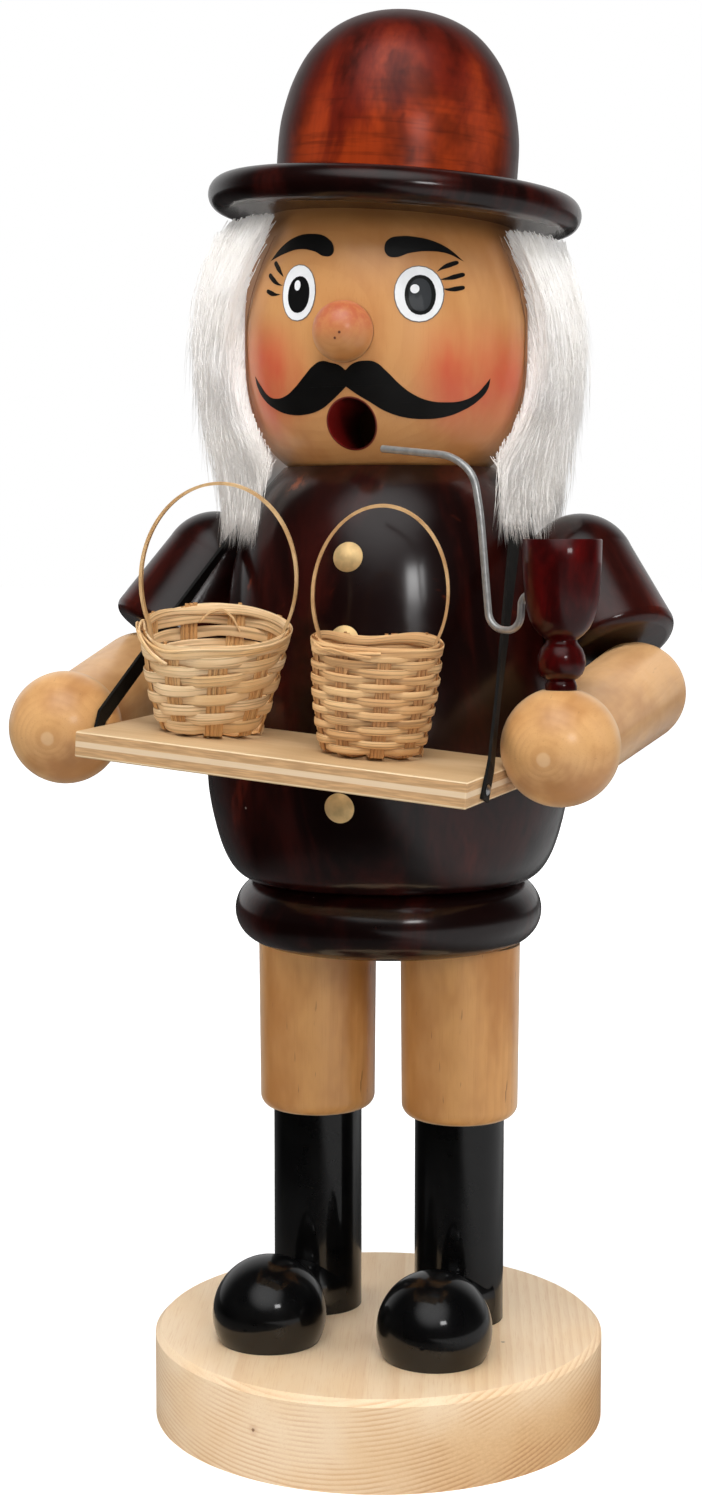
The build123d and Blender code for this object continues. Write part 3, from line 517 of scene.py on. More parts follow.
def splint(name, light, deep):
    # Split wood strip, its fibres along the strip's own length
    material, tree = newMaterial(name)
    vector = tree.add("UVMap", uv_map="along")["UV"]
    fibre = tree.noise(vector, 1.0, 3, 0.6, stretch=(18, 1600, 1))
    tone = tree.noise(vector, 1.0, stretch=(34, 60, 1))
    colour = tree.over(light, deep, tone, (0.3, 0.72))
    colour = tree.over(colour, darker(deep, 0.5), fibre, (0.47, 0.66, 0.78))
    tree.principled({"Base Color": colour, "Roughness": 0.55, "Normal": tree.bump(fibre, 0.8, 0.3 * mm)})
    return material


def bentStrip(name, centre, light, deep):
    # Bent split strip whose fibres follow the arch round its centre
    material, tree = newMaterial(name)
    vector = tree.place(Matrix.Translation(Vector(centre) * mm))
    x, y, z = tree.parts(vector)
    turn = tree.times(tree.calc("ARCTAN2", z, x), mm)
    bent = tree.add("CombineXYZ", {"X": tree.length(vector), "Y": y, "Z": turn})[0]
    fibre = tree.noise(bent, 1500, 3, 0.6)
    colour = tree.over(light, deep, tree.noise(vector, 110), (0.32, 0.7))
    colour = tree.over(colour, darker(deep, 0.6), fibre, (0.5, 0.72, 0.5))
    tree.principled({
        "Base Color": colour, "Roughness": 0.5, "Normal": tree.bump(fibre, 0.35, 0.2 * mm), "Coat Weight": 0.1,
    })
    return material


def metal(name, colour, roughness, scale=400, uneven=0.06, metallic=1.0):
    material, tree = newMaterial(name)
    vector = tree.place()
    cloud = tree.noise(vector, scale, 3)
    shade = tree.over(colour, darker(colour, 0.78), cloud, (0.35, 0.7))
    sockets = {"Base Color": shade, "Roughness": roughness, "Metallic": metallic}
    if uneven:
        sockets["Roughness"] = tree.plus(tree.times(cloud, 0.2), roughness - 0.1)
        sockets["Normal"] = tree.bump(tree.noise(vector, scale * 3), uneven, 0.1 * mm)
    tree.principled(sockets)
    return material


def strapCloth():
    material, tree = newMaterial("blackLeathercloth")
    vector = tree.place()
    cells = tree.add("TexVoronoi", {"Vector": vector, "Scale": 1700.0}, feature="DISTANCE_TO_EDGE")
    tree.principled({
        "Base Color": tree.mix(tree.noise(vector, 220, 3), (0.004, 0.004, 0.004), (0.011, 0.011, 0.010)),
        "Roughness": 0.55, "Normal": tree.bump(cells["Distance"], 0.4, 0.15 * mm), "Specular IOR Level": 0.12,
    })
    return material


def paint(name, colour, roughness=0.5):
    material, tree = newMaterial(name)
    surface = tree.lacquer(tree.place(), 0.0)
    worn = tuple(min(1, c * 0.85 + 0.002) for c in colour)
    tree.principled({
        "Base Color": tree.mix(surface["Dull"], colour, worn), "Roughness": roughness,
        "Normal": tree.bump(surface["Height"], 0.1, 0.4 * mm), "Specular IOR Level": 0.2, "Coat Weight": 0.05,
    })
    return material


furLook = {
    "light": (0.97, 0.95, 0.93), "warm": (0.90, 0.87, 0.83), "grey": (0.66, 0.63, 0.59),
    # grey and low: painted shade lower down the fur
    "low": (345 * mm, 300 * mm, 0.6),
}


def furMaterial():
    material, tree = newMaterial("whiteFur")
    vector = tree.place()
    colour = tree.over(furLook["light"], furLook["warm"], tree.noise(vector, 55, 3), (0.35, 0.7))
    # Painted shade: greyer towards the tips over the shoulders
    colour = tree.over(colour, furLook["grey"], tree.parts(vector)["Z"], furLook["low"])
    # Painted light: the fur glows faintly of its own, which keeps it bright
    tree.principled({
        "Base Color": colour, "Roughness": 0.6, "Sheen Weight": 0.2, "Sheen Roughness": 0.4,
        "Emission Color": (1, 0.97, 0.94), "Emission Strength": 0.15,
    })
    return material


# Camera, light and ground

view = {
    "place": (209.2 * mm, -726.1 * mm, 291.7 * mm), "heading": (-0.2874, 0.9535, -0.0911), "lens": 55.12,
}


def makeCamera():
    data = bpy.data.cameras.new("photoCamera")
    data.lens = view["lens"]
    data.sensor_width = 36
    data.clip_start = 0.01
    camera = bpy.data.objects.new("photoCamera", data)
    camera.location = view["place"]
    camera.rotation_mode = "QUATERNION"
    camera.rotation_quaternion = Vector(view["heading"]).to_track_quat("-Z", "Y")
    bpy.context.scene.collection.objects.link(camera)
    bpy.context.scene.camera = camera


lamps = {
    # name: azimuth from the front, height angle, distance, width, height, watts, only in gloss
    "windowLamp": (35, 20, 1.25, 0.25, 0.15, 1.5, True),
    "keyFill": (35, 20, 1.25, 0.28, 0.38, 3.6, False),
    "overheadFill": (8, 60, 1.25, 0.8, 0.6, 6.5, False),
    "ceilingFill": (0, 66, 1.4, 1.2, 1.0, 11.5, False),
    "leftFill": (-68, 20, 1.4, 0.7, 1.1, 6.5, False),
    "rightFill": (96, 22, 1.4, 0.7, 1.1, 6.5, False),
    "backFill": (180, 45, 1.6, 1.2, 0.8, 8, False),
}
lookAt = Vector((0, 0, 0.24))


def makeLamps():
    for name, (azimuth, lift, distance, width, height, watts, glossOnly) in lamps.items():
        data = bpy.data.lights.new(name, "AREA")
        data.shape = "RECTANGLE"
        data.size = width
        data.size_y = height
        data.energy = watts
        lamp = bpy.data.objects.new(name, data)
        lamp.visible_glossy = glossOnly
        lamp.visible_diffuse = not glossOnly
        turn, up = math.radians(azimuth), math.radians(lift)
        away = Vector((math.sin(turn) * math.cos(up), -math.cos(turn) * math.cos(up), math.sin(up)))
        lamp.location = lookAt + away * distance
        lamp.rotation_mode = "QUATERNION"
        lamp.rotation_quaternion = (-away).to_track_quat("-Z", "Y")
        bpy.context.scene.collection.objects.link(lamp)


sky = {
    "fill": 0.2, "frontDark": 0.02, "surround": 0.55, "white": (0.3, 0.8), "away": (-0.288, 0.957),
    "glowAway": (0.08, -0.60, 0.80), "glow": (0.79, 1.0, 1.45),
}
ground = {
    "colour": 0.8, "bounce": 0.72, "mirror": 0.07, "mirrorRight": 0.42, "mirrorNear": (0.36, 0.2),
    "right": (0.06, 0.22), "glow": 0.42, "farGlow": 1.0, "far": (0.35, 1.3),
}


def whiteShare(tree, vector, reach):
    # White behind the figure as the camera sees it, and dark in front
    x, y = list(tree.parts(vector))[:2]
    behind = tree.plus(tree.times(x, sky["away"][0]), tree.times(y, sky["away"][1]))
    return tree.ramp(tree.calc("DIVIDE", behind, reach), *sky["white"])


def makeWorld():
    # White all round, but a dark room behind the camera, so that lacquer keeps its depth
    world = bpy.data.worlds.new("studio")
    bpy.context.scene.world = world
    tree = emptyTree(world)
    path = tree.add("LightPath")
    away = tree.add("TexCoord")["Generated"]
    white = tree.times(whiteShare(tree, away, 1.0), sky["surround"] - sky["frontDark"])
    # A soft ceiling light that only lacquer shows
    aim = tree.add("VectorMath", {0: away, 1: sky["glowAway"]}, operation="DOT_PRODUCT")["Value"]
    room = tree.plus(tree.plus(white, sky["frontDark"]), tree.ramp(aim, *sky["glow"]))
    mirrored = tree.calc("MAXIMUM", path["Is Glossy Ray"], path["Is Transmission Ray"])
    diffuse = tree.times(tree.calc("SUBTRACT", 1.0, mirrored), sky["fill"])
    strength = tree.calc("MAXIMUM", tree.plus(tree.times(mirrored, room), diffuse), path["Is Camera Ray"])
    back = tree.add("Background", {"Color": (1, 1, 1), "Strength": strength})
    tree.add("OutputWorld", {"Surface": back[0]})


def makeFloor():
    clearSelection()
    bpy.ops.mesh.primitive_plane_add(size=24, location=(0, 0, 0))
    floor = bpy.context.object
    floor.name = "floor"
    material, tree = newMaterial("paleFloor")
    path = tree.add("LightPath")
    mirrored = path["Is Glossy Ray"]
    spot = tree.place()
    reach = tree.calc("MAXIMUM", tree.length(spot), 0.01)
    seen = tree.times(path["Is Camera Ray"], ground["colour"] - ground["bounce"])
    pale = tree.times(tree.plus(seen, ground["bounce"]), tree.calc("SUBTRACT", 1.0, mirrored))
    # In gloss the floor is white near the figure and behind it, and lies in the dark room in front
    white = tree.calc("MAXIMUM", tree.ramp(reach, *ground["mirrorNear"]), whiteShare(tree, spot, reach))
    toRight = tree.ramp(tree.parts(spot)["X"], *ground["right"])
    level = tree.plus(tree.times(toRight, ground["mirrorRight"] - ground["mirror"]), ground["mirror"])
    level = tree.times(level, tree.calc("MAXIMUM", white, toRight))
    diffuse = tree.add("BsdfDiffuse", {"Color": tree.plus(pale, tree.times(mirrored, level))})[0]
    glow = tree.plus(tree.ramp(reach, *ground["far"], ground["farGlow"] - ground["glow"]), ground["glow"])
    shine = tree.add("Emission", {"Color": (1, 1, 1), "Strength": glow})[0]
    both = tree.add("AddShader", {0: diffuse, 1: shine})[0]
    pick = tree.add("MixShader", {0: path["Is Camera Ray"], 1: diffuse, 2: both})[0]
    tree.add("OutputMaterial", {"Surface": pick})
    setMaterial(floor, material)


makeCamera()
makeLamps()
makeWorld()
makeFloor()
bpy.context.scene.view_settings.view_transform = "Standard"
print("camera, lamps and floor are in place")

# Finishes of the turned pieces

elbows = {"left": Vector((84.3, 0.6, 243.1)) * mm, "right": Vector((-84.3, 0.6, 244.3)) * mm}
hands = {"left": Vector((77.5, -80.95, 232.55)) * mm, "right": Vector((-77.5, -78.45, 234.45)) * mm}
shoulders = {"left": Vector((63, 17.1, 282)) * mm, "right": Vector((-63, 17.1, 283.2)) * mm}
hatPlace = (
    Matrix.Translation(figureAxis + Vector((1.4 * mm, 0, 394.6 * mm))) @ Matrix.Rotation(math.radians(4), 4, "Y")
)

# places and radii in mm
faceTint = {
    # brimShadowHeight, brimShadowShare and shade: the painted shadow of the brim
    "front": (8, -2), "brimShadowHeight": (370, 394), "brimShadowShare": 0.6, "shade": (0.27, 0.105, 0.03),
    "cheeks": ((-31.6, 341.5), (36.0, 342.0)), "cheekRadius": (24, 5), "cheek": (0.56, 0.075, 0.03),
    "mouth": (0, 328.0), "lipRadius": (8.35, 8.1), "lip": (0.13, 0.007, 0.006),
    # boreShadedRed: the bore's dark red paint under painted shade; boreLit: the same red on the wall that is lit
    "boreRadius": (7.85, 7.75), "boreShadedRed": (0.05, 0.003, 0.003), "boreSide": (0, -6),
    "boreLit": (0.30, 0.012, 0.010),
}


def spotShare(tree, flat, centre, radius):
    # A round spot seen from the front, from its outer to its inner radius
    x, z = centre
    gap = tree.distance(flat, (x * mm, 0, z * mm))
    return tree.ramp(gap, *(r * mm for r in radius))


def tintFace(tree, colour):
    # Painted shadow of the brim across the brow, blushed cheeks, and the dark red bore of the mouth with painted
    # shade in it
    x, y, z = tree.parts(tree.place())
    flat = tree.upright(x, z)
    front = tree.ramp(y, *(depth * mm for depth in faceTint["front"]))
    # Painted shadow of the brim, darker towards the top of the head
    high = tree.ramp(z, *(level * mm for level in faceTint["brimShadowHeight"]), faceTint["brimShadowShare"])
    colour = tree.mix(high, colour, faceTint["shade"])
    wipe = tree.ramp(tree.noise(flat, 90, 3, stretch=(1, 1, 0.3)), 0.1, 0.75)
    for centre in faceTint["cheeks"]:
        blush = tree.times(spotShare(tree, flat, centre, faceTint["cheekRadius"]), front)
        colour = tree.mix(tree.times(blush, wipe), colour, faceTint["cheek"])
    # Painted shade deep in the mouth's bore over its dark red paint; the wall on the figure's right keeps a lit red
    side = tree.ramp(x, *(width * mm for width in faceTint["boreSide"]))
    wall = tree.mix(side, faceTint["boreShadedRed"], faceTint["boreLit"])
    for radius, shade in ((faceTint["lipRadius"], faceTint["lip"]), (faceTint["boreRadius"], wall)):
        share = tree.times(spotShare(tree, flat, faceTint["mouth"], radius), front)
        colour = tree.mix(share, colour, shade)
    return colour


noseTint = {
    "height": (348.5 * mm, 361 * mm), "red": (0.44, 0.105, 0.045), "share": 0.95, "worn": (0.38, 0.66, 0.3),
    "pits": ((0.9, 354.9, 0.55), (-0.6, 353.2, 0.5)), "pitShade": (0.10, 0.02, 0.01),
}


def tintNose(tree, colour):
    # Red paint that is worn in places, with two small pits drawn as spots of painted shade
    place = tree.place()
    x, y, z = tree.parts(place)
    worn = tree.ramp(tree.noise(place, 420, 4, 0.65), *noseTint["worn"])
    red = tree.times(tree.ramp(z, *noseTint["height"]), tree.calc("SUBTRACT", noseTint["share"], worn))
    colour = tree.mix(red, colour, noseTint["red"])
    for across, height, size in noseTint["pits"]:
        pitShade = spotShare(tree, tree.upright(x, z), (across, height), (size, size * 0.55))
        colour = tree.mix(pitShade, colour, noseTint["pitShade"])
    return colour


wornSpots = (
    {"place": (-19, -19, 306), "size": 8.0, "colour": (0.42, 0.085, 0.012)},
    {"place": (-15, -23, 299), "size": 6.0, "colour": (0.30, 0.05, 0.009)},
    {"place": (-27, -12, 301), "size": 6.0, "colour": (0.20, 0.03, 0.007)},
)


def tintTorso(tree, colour):
    # Stain worn off round a few knots below the chin
    place = tree.place()
    ragged = tree.ramp(tree.noise(place, 330, 4, 0.7, stretch=(1, 1, 0.6)), 0.42, 0.66)
    for spot in wornSpots:
        gap = tree.distance(place, tuple(c * mm for c in spot["place"]))
        near = tree.ramp(gap, spot["size"] * mm, 1 * mm)
        colour = tree.mix(tree.times(near, ragged), colour, spot["colour"])
    return colour


upwards = (0, 0, 1)
finishes = {
    # places of the grain, bare metals, and each handle's centre in mm with its light and deep colour
    "body": frameAlong(figureAxis + Vector((9 * mm, 30 * mm, 0)), upwards),
    "nose": frameAlong((-0.8 * mm, -0.03, 356 * mm), (0, -1, 0)),
    "steel": (0.50, 0.50, 0.50), "wire": (0.60, 0.60, 0.59), "brass": (0.86, 0.60, 0.28), "tin": (0.60, 0.59, 0.56),
    "rightHandle": ((-26.5, -79, 268), (0.66, 0.44, 0.22), (0.50, 0.29, 0.12)),
    "leftHandle": ((26, -87.5, 264), (0.60, 0.37, 0.17), (0.46, 0.25, 0.10)),
}


def dressLimbs(side, black, beech):
    sign = 1 if side == "left" else -1
    leg = figureAxis + Vector((sign * 25 * mm + 6 * mm, 14 * mm, 0))
    shoulder, elbow, hand = shoulders[side], elbows[side], hands[side]
    forearm = (hand - elbow).normalized()
    sleeve = frameAlong(shoulder, (elbow - shoulder).normalized())
    grain = frameAlong(elbow + Vector((0, 0, 5 * mm)), forearm)
    limbs = {
        "boot": black, "shoe": black,
        "thigh": honeyWood(f"{side}ThighLacquer", frameAlong(leg, upwards), thighLook),
        "sleeve": darkStain(f"{side}SleeveStain", sleeve, 0.026, 0.03),
        "forearm": honeyWood(f"{side}ForearmLacquer", grain),
        "hand": honeyWood(f"{side}HandLacquer", frameAlong(hand, forearm), handLook),
    }
    limbs.update((f"{joint}_dowel", beech) for joint in ("leg", "shoulder", "elbow", "wrist"))
    return {f"{side}_{limb}": material for limb, material in limbs.items()}


def dressNodes():
    body, steel = finishes["body"], finishes["steel"]
    finish = {
        "base_plate": pineBoard(),
        "waist_ring": darkStain("ringStain", body, 0.024, -0.03),
        "torso": darkStain("torsoStain", body, 0.034, tint=tintTorso),
        "hat_brim": darkStain("brimStain", hatPlace, 0.022, -0.05),
        "hat_crown": redStain("crownStain", hatPlace),
        "head": honeyWood("headLacquer", body, faceLook, tintFace),
        "nose": honeyWood("noseLacquer", finishes["nose"], faceLook, tintNose),
        "tray": plywood(),
        "pipe_bowl": darkStain("pipeStain", frameAlong(hands["left"], upwards), 0.012, look=cherry),
        "pipe_stem": metal("steelWire", finishes["wire"], 0.34, uneven=0, metallic=0.75),
        "button_nails": metal("brassTack", finishes["brass"], 0.5, 260, metallic=0.55),
        "strap_nails": metal("steelNail", steel, 0.35),
        "dish_nail": metal("dishNail", steel, 0.35),
        "incense_dish": metal("pressedTin", finishes["tin"], 0.4, 150),
        "neck_strap": strapCloth(),
        "right_basket_handle": bentStrip("rightHandleStrip", *finishes["rightHandle"]),
        "left_basket_handle": bentStrip("leftHandleStrip", *finishes["leftHandle"]),
    }
    black = blackGloss("blackLacquer")
    beech = honeyWood("beechDowel", frameAlong((0, 0, 0), upwards))
    for side in ("left", "right"):
        finish.update(dressLimbs(side, black, beech))
    for name, material in finish.items():
        setMaterial(nodes[name], material)


dressNodes()
print("turned pieces have their finishes")

# Painted face, its outlines in mm as seen from the front

facePaint = {
    "lift": 0.05 * mm, "layer": 0.06 * mm, "film": 0.1 * mm, "cuts": 10, "start": -0.08, "lashWidth": 1.45,
    "lineWidth": 0.3, "black": (0.004, 0.004, 0.004), "white": (0.82, 0.83, 0.84),
    # grey: painted reflection in the right iris
    "grey": (0.03, 0.033, 0.036), "line": (0.16, 0.14, 0.13),
}
browLeft = (
    (-29.2, 380.1), (-24.9, 384.2), (-19.6, 386.8), (-13.6, 387.2), (-8.2, 385.7), (-5.4, 382.3),
    (-5.8, 380.0), (-8.5, 379.7), (-11.9, 381.4), (-18.0, 382.6), (-23.3, 381.8),
)
browRight = (
    (10.8, 382.4), (11.9, 384.5), (15.3, 385.4), (19.7, 385.2), (24.8, 384.0), (29.1, 381.7), (33.1, 378.1),
    (28.7, 380.3), (23.3, 380.8), (18.4, 380.1), (14.1, 378.7), (11.8, 379.4),
)
moustache = (
    (-0.5, 344.2), (-2.6, 345.8), (-5.3, 346.6), (-8.5, 347.2), (-11.4, 345.9), (-14.9, 342.7),
    (-18.9, 339.2), (-22.4, 337.1), (-26.9, 336.5), (-30.1, 337.6), (-32.9, 340.6), (-35.6, 344.0),
    (-34.7, 340.4), (-31.9, 336.4), (-27.4, 333.3), (-21.5, 331.3), (-15.1, 331.1), (-9.6, 332.5),
    (-5.1, 335.4), (-0.6, 339.2), (2.5, 337.0), (6.4, 334.6), (10.7, 331.9), (16.0, 329.9), (22.3, 329.3),
    (27.8, 330.0), (32.7, 332.1), (36.9, 335.3), (39.5, 339.0), (40.3, 342.3), (38.8, 340.0), (36.5, 337.2),
    (32.9, 335.1), (28.8, 334.5), (24.0, 334.9), (19.7, 336.8), (16.1, 339.7), (12.3, 343.7), (9.0, 346.5),
    (5.7, 347.0), (1.8, 346.1),
)
moustacheTips = (0, 11, 19, 29)
eyes = {
    "Left": {
        "white": ((-17.2, 377.4), (-10.8, 368.5), (-17.0, 360.1), (-22.7, 369.1)),
        "iris": ((-16.6, 373.9), (-12.7, 368.5), (-16.8, 362.4), (-20.7, 368.2)),
        "irisReflection": None, "shine": (-17.2, 371.0), "shineWide": 1.1, "shineTall": 1.6,
        "lashes": (
            ((-26.8, 379.0), (-25.0, 376.4), (-23.0, 374.2)), ((-28.7, 375.4), (-26.5, 372.6), (-23.2, 371.5)),
            ((-29.2, 370.4), (-27.2, 368.9), (-23.8, 368.8)),
        ),
    },
    "Right": {
        "white": ((21.2, 375.9), (28.4, 367.6), (21.9, 358.9), (14.7, 368.0)),
        "iris": ((21.7, 373.3), (26.4, 367.3), (22.3, 360.9), (17.6, 367.1)),
        # The right iris's grey middle is a painted reflection
        "irisReflection": ((21.7, 372.2), (25.2, 367.2), (22.3, 362.0), (18.8, 367.1)), "shine": (20.5, 368.9),
        "shineWide": 1.3, "shineTall": 1.4,
        "lashes": (
            ((31.2, 377.4), (28.4, 376.3), (26.3, 374.4)), ((33.0, 373.9), (30.2, 372.6), (27.3, 372.0)),
            ((33.2, 369.9), (30.8, 368.9), (28.2, 369.2)),
        ),
    },
}


def paintPatch(name, outline, material, layer, sharp=()):
    # A closed outline seen from the front, laid on the head as a thin film
    data = bpy.data.curves.new(name, "CURVE")
    data.dimensions = "2D"
    data.fill_mode = "BOTH"
    data.resolution_u = 6
    spline = data.splines.new("BEZIER")
    spline.bezier_points.add(len(outline) - 1)
    spline.use_cyclic_u = True
    for index, (point, (x, z)) in enumerate(zip(spline.bezier_points, outline)):
        point.co = (x * mm, z * mm, 0)
        point.handle_left_type = point.handle_right_type = "VECTOR" if index in sharp else "AUTO"
    patch = bpy.data.objects.new(name, data)
    bpy.context.scene.collection.objects.link(patch)
    patch.rotation_euler = (math.radians(90), 0, 0)
    patch.location = (0, facePaint["start"], 0)
    makeActive(patch)
    bpy.ops.object.convert(target="MESH")
    patch = bpy.context.object
    bpy.ops.object.transform_apply(location=True, rotation=True, scale=True)
    bpy.ops.object.mode_set(mode="EDIT")
    bpy.ops.mesh.select_all(action="SELECT")
    bpy.ops.mesh.remove_doubles(threshold=0.02 * mm)
    bpy.ops.mesh.subdivide(number_cuts=facePaint["cuts"])
    bpy.ops.object.mode_set(mode="OBJECT")
    wrap = patch.modifiers.new("wrap", "SHRINKWRAP")
    wrap.target = nodes["head"]
    wrap.wrap_method = "PROJECT"
    wrap.use_project_y = True
    wrap.use_positive_direction = True
    wrap.offset = facePaint["lift"] + layer * facePaint["layer"]
    film = patch.modifiers.new("film", "SOLIDIFY")
    film.thickness = facePaint["film"]
    film.offset = 1
    applyModifiers(patch)
    smooth(patch, 50)
    settle(patch, material)


def grown(outline, by):
    x = sum(p[0] for p in outline) / len(outline)
    z = sum(p[1] for p in outline) / len(outline)
    reach = [math.hypot(p[0] - x, p[1] - z) for p in outline]
    return tuple((x + (p[0] - x) * (r + by) / r, z + (p[1] - z) * (r + by) / r) for p, r in zip(outline, reach))


def brushStroke(points, width):
    # A lash: round at its outer end and drawn out to a point at the eye
    start, bend, end = (Vector(point) for point in points)
    along = (end - start).normalized() * width / 2
    across = Vector((-along.y, along.x))
    middle = (start + bend) / 2
    late = bend + (end - bend) * 0.4
    thin = across * 0.55
    return start - along, middle + across, late + thin, end, late - thin, middle - across


def paintFace():
    names = {"black": "blackPaint", "white": "whitePaint", "grey": "paintedGreyReflection", "line": "lineShade"}
    black, white, grey, line = (paint(name, facePaint[colour]) for colour, name in names.items())
    paintPatch("brow_left", browLeft, black, 0, sharp=(0,))
    paintPatch("brow_right", browRight, black, 0, sharp=(6,))
    paintPatch("moustache", moustache, black, 0, sharp=moustacheTips)
    for side, eye in eyes.items():
        (x, z), wide, tall = eye["shine"], eye["shineWide"], eye["shineTall"]
        shine = ((x, z + tall), (x + wide, z), (x, z - tall), (x - wide, z))
        # From the bottom up: outline, white, iris, the painted grey reflection in the right iris, and the shine
        layers = (
            ("line", grown(eye["white"], facePaint["lineWidth"]), line), ("white", eye["white"], white),
            ("iris", eye["iris"], black), ("grey", eye["irisReflection"], grey), ("shine", shine, white),
        )
        for layer, (part, outline, material) in enumerate(layers):
            if outline:
                paintPatch(f"eye_{part}_{side}", outline, material, layer)
        for index, lash in enumerate(eye["lashes"]):
            stroke = brushStroke(lash, facePaint["lashWidth"])
            paintPatch(f"lash_{side}_{index}", stroke, black, 0, sharp=(3,))


paintFace()
print("face is painted")

# Woven baskets

def wobble(rng, count, size, waves=(2, 3, 5, 8, 13)):
    # Smooth closed unevenness along a strip
    phase = np.linspace(0, 2 * np.pi, count)
    total = np.zeros(count)
    for wave in waves:
        total += np.sin(wave * phase + rng.uniform(0, 2 * np.pi)) * rng.uniform(0.4, 1.0)
    return total * size / len(waves)


class StripMesh:
    # Gathers flat split strips into one mesh, each with its length along the first map axis
    shape = ((-0.5, 0.0), (-0.38, 0.42), (0.0, 0.55), (0.38, 0.42), (0.5, 0.0), (0.36, -0.45), (-0.36, -0.45))
    apart = 0.37  # from one strip's place on the map to the next, so that no two look the same

    def __init__(self):
        self.points, self.faces, self.maps, self.shift = [], [], [], 0.0

    def add(self, centre, outward, side, width, thick, closed=False):
        count = len(centre)
        base = sum(len(block) for block in self.points)
        width = np.broadcast_to(width, count)
        thick = np.broadcast_to(thick, count)
        steps = np.linalg.norm(np.diff(centre, axis=0), axis=1)
        along = np.concatenate(([0], np.cumsum(steps))) + self.shift
        self.shift += self.apart
        ring = len(self.shape)
        block = np.zeros((count, ring, 3))
        uv = np.zeros((count, ring, 2))
        for j, (across, up) in enumerate(self.shape):
            block[:, j] = centre + side * (width * across)[:, None] + outward * (thick * up)[:, None]
            uv[:, j] = joined(along, across * width + self.shift)
        self.points.append(block.reshape(-1, 3))
        self.maps.append(uv.reshape(-1, 2))
        for i in range(count if closed else count - 1):
            here, there = base + i * ring, base + ((i + 1) % count) * ring
            for j in range(ring):
                k = (j + 1) % ring
                self.faces.append((here + j, here + k, there + k, there + j))
        if not closed:
            end = base + (count - 1) * ring
            self.faces += [tuple(range(base + ring - 1, base - 1, -1)), tuple(range(end, end + ring))]

    def build(self, name, place, material, slot, node=None):
        turn = np.array(place)
        points = np.concatenate(self.points) @ turn[:3, :3].T + turn[:3, 3]
        piece = meshPiece(name, points, self.faces, np.concatenate(self.maps))
        faceOutwards(piece)
        smooth(piece, 55)
        settle(piece, material, node)


# sizes in mm; a dip in the wall is given by its angle, its width and its depth
baskets = {
    "right_basket": {
        "side": -32.2, "back": 5, "foot": 15.5, "rim": 22.8, "height": 32, "slant": 11, "stakes": 9, "rows": 9.0,
        "strip": 3.4, "stripThick": 0.5, "stake": 5.6, "tilt": 0.10, "uneven": 0.42, "seed": 5,
        "light": (0.84, 0.62, 0.37), "deep": (0.69, 0.42, 0.18), "stakeDeep": (0.58, 0.285, 0.095),
        "slot": "pale_splint", "dip": (0, 1, 0), "rimDip": (235, 26, 0.07),
        # each loose end: its angle, its share of the height and how far it stands out
        "loose": (
            ((178, 0.985, -0.9), (186, 1.03, 0.2), (198, 1.0, 1.5), (214, 0.93, 2.0), (228, 0.85, 1.7),
             (238, 0.79, 0.9)),
            ((176, 0.93, 0.8), (180, 0.99, 1.6), (188, 1.02, 1.8), (204, 0.97, 2.2), (222, 0.88, 2.2),
             (234, 0.80, 1.3)),
            ((75, 0.78, -1.0), (82, 0.9, -1.9), (92, 0.96, -2.6), (104, 0.93, -2.6), (112, 0.86, -1.6)),
        ),
    },
    "left_basket": {
        "side": 21.3, "back": 2.8, "foot": 15.25, "rim": 19.25, "height": 33.5, "slant": 3, "stakes": 9, "rows": 14.5,
        "strip": 2.3, "stripThick": 0.5, "stake": 4.6, "tilt": -0.02, "uneven": 0.16, "seed": 8,
        "light": (0.80, 0.515, 0.25), "deep": (0.62, 0.33, 0.132), "stakeDeep": (0.46, 0.205, 0.068),
        "slot": "tan_splint", "dip": (105, 34, 0.075), "rimDip": (235, 26, 0),
        "loose": (
            ((205, 0.97, 1.1), (222, 0.95, 1.5), (240, 0.93, 1.4), (258, 0.96, 1.5), (276, 0.97, 1.2)),
            ((212, 0.93, 1.2), (232, 0.965, 1.7), (250, 0.945, 1.8), (268, 0.93, 1.3)),
        ),
    },
}
weaving = {
    "trayTop": 3.85, "turn": 20, "wall": 0.95, "bulge": 1.2, "strandsPerStake": 4, "rimPoints": 120,
    "pointsPerRow": 108, "firstRow": 0.035, "lastRow": 0.965, "squareness": 1.7, "swingGap": 0.12,
    "strandThick": 0.5, "strandHeight": (0.42, 0.52), "strandWidth": (0.88, 1.02), "stakeTop": 0.985,
    "stakeTopSpread": (-0.01, 0.035), "footNarrow": 0.6, "looseWidth": (0.9, 1.2), "looseThick": 0.6,
    # each strand of the rim: how far out, its share of the height, its width
    "rim": ((0.75, 0.955, 2.5), (-0.72, 0.965, 2.6), (0.9, 0.985, 1.3), (-0.35, 0.99, 1.2)),
    # a stake's way under the foot: how far in from the wall and how high
    "footWay": ((13.2, 0.55), (8, 0.5), (3.4, 0.48), (1.2, 0.62), (0.25, 1.05)),
}


def wallPoint(look, angle, share):
    # Middle of the woven wall at an angle and a share of its height, with its outward and upward directions
    slant = math.tan(math.radians(look["slant"]))
    middle, wide, deep = look["dip"]
    off = (np.degrees(angle) - middle + 180) % 360 - 180
    share = share * (1 - deep * np.exp(-(off / wide) ** 2) * np.clip(share, 0, 1))
    belly = np.sin(np.pi * np.clip(share, 0, 1))
    radius = look["foot"] + (look["rim"] - look["foot"]) * share + weaving["bulge"] * belly - weaving["wall"]
    cos, sin = np.cos(angle), np.sin(angle)
    x, y = radius * cos, radius * sin
    z = share * (look["height"] + y * slant) + look["tilt"] * x * belly
    lean = (look["rim"] - look["foot"]) / look["height"]
    size = math.hypot(1, lean)
    outward = joined(cos, sin, np.full_like(x, -lean)) / size
    upward = joined(cos * lean, sin * lean, np.ones_like(x)) / size
    return joined(x, y, z), outward, upward


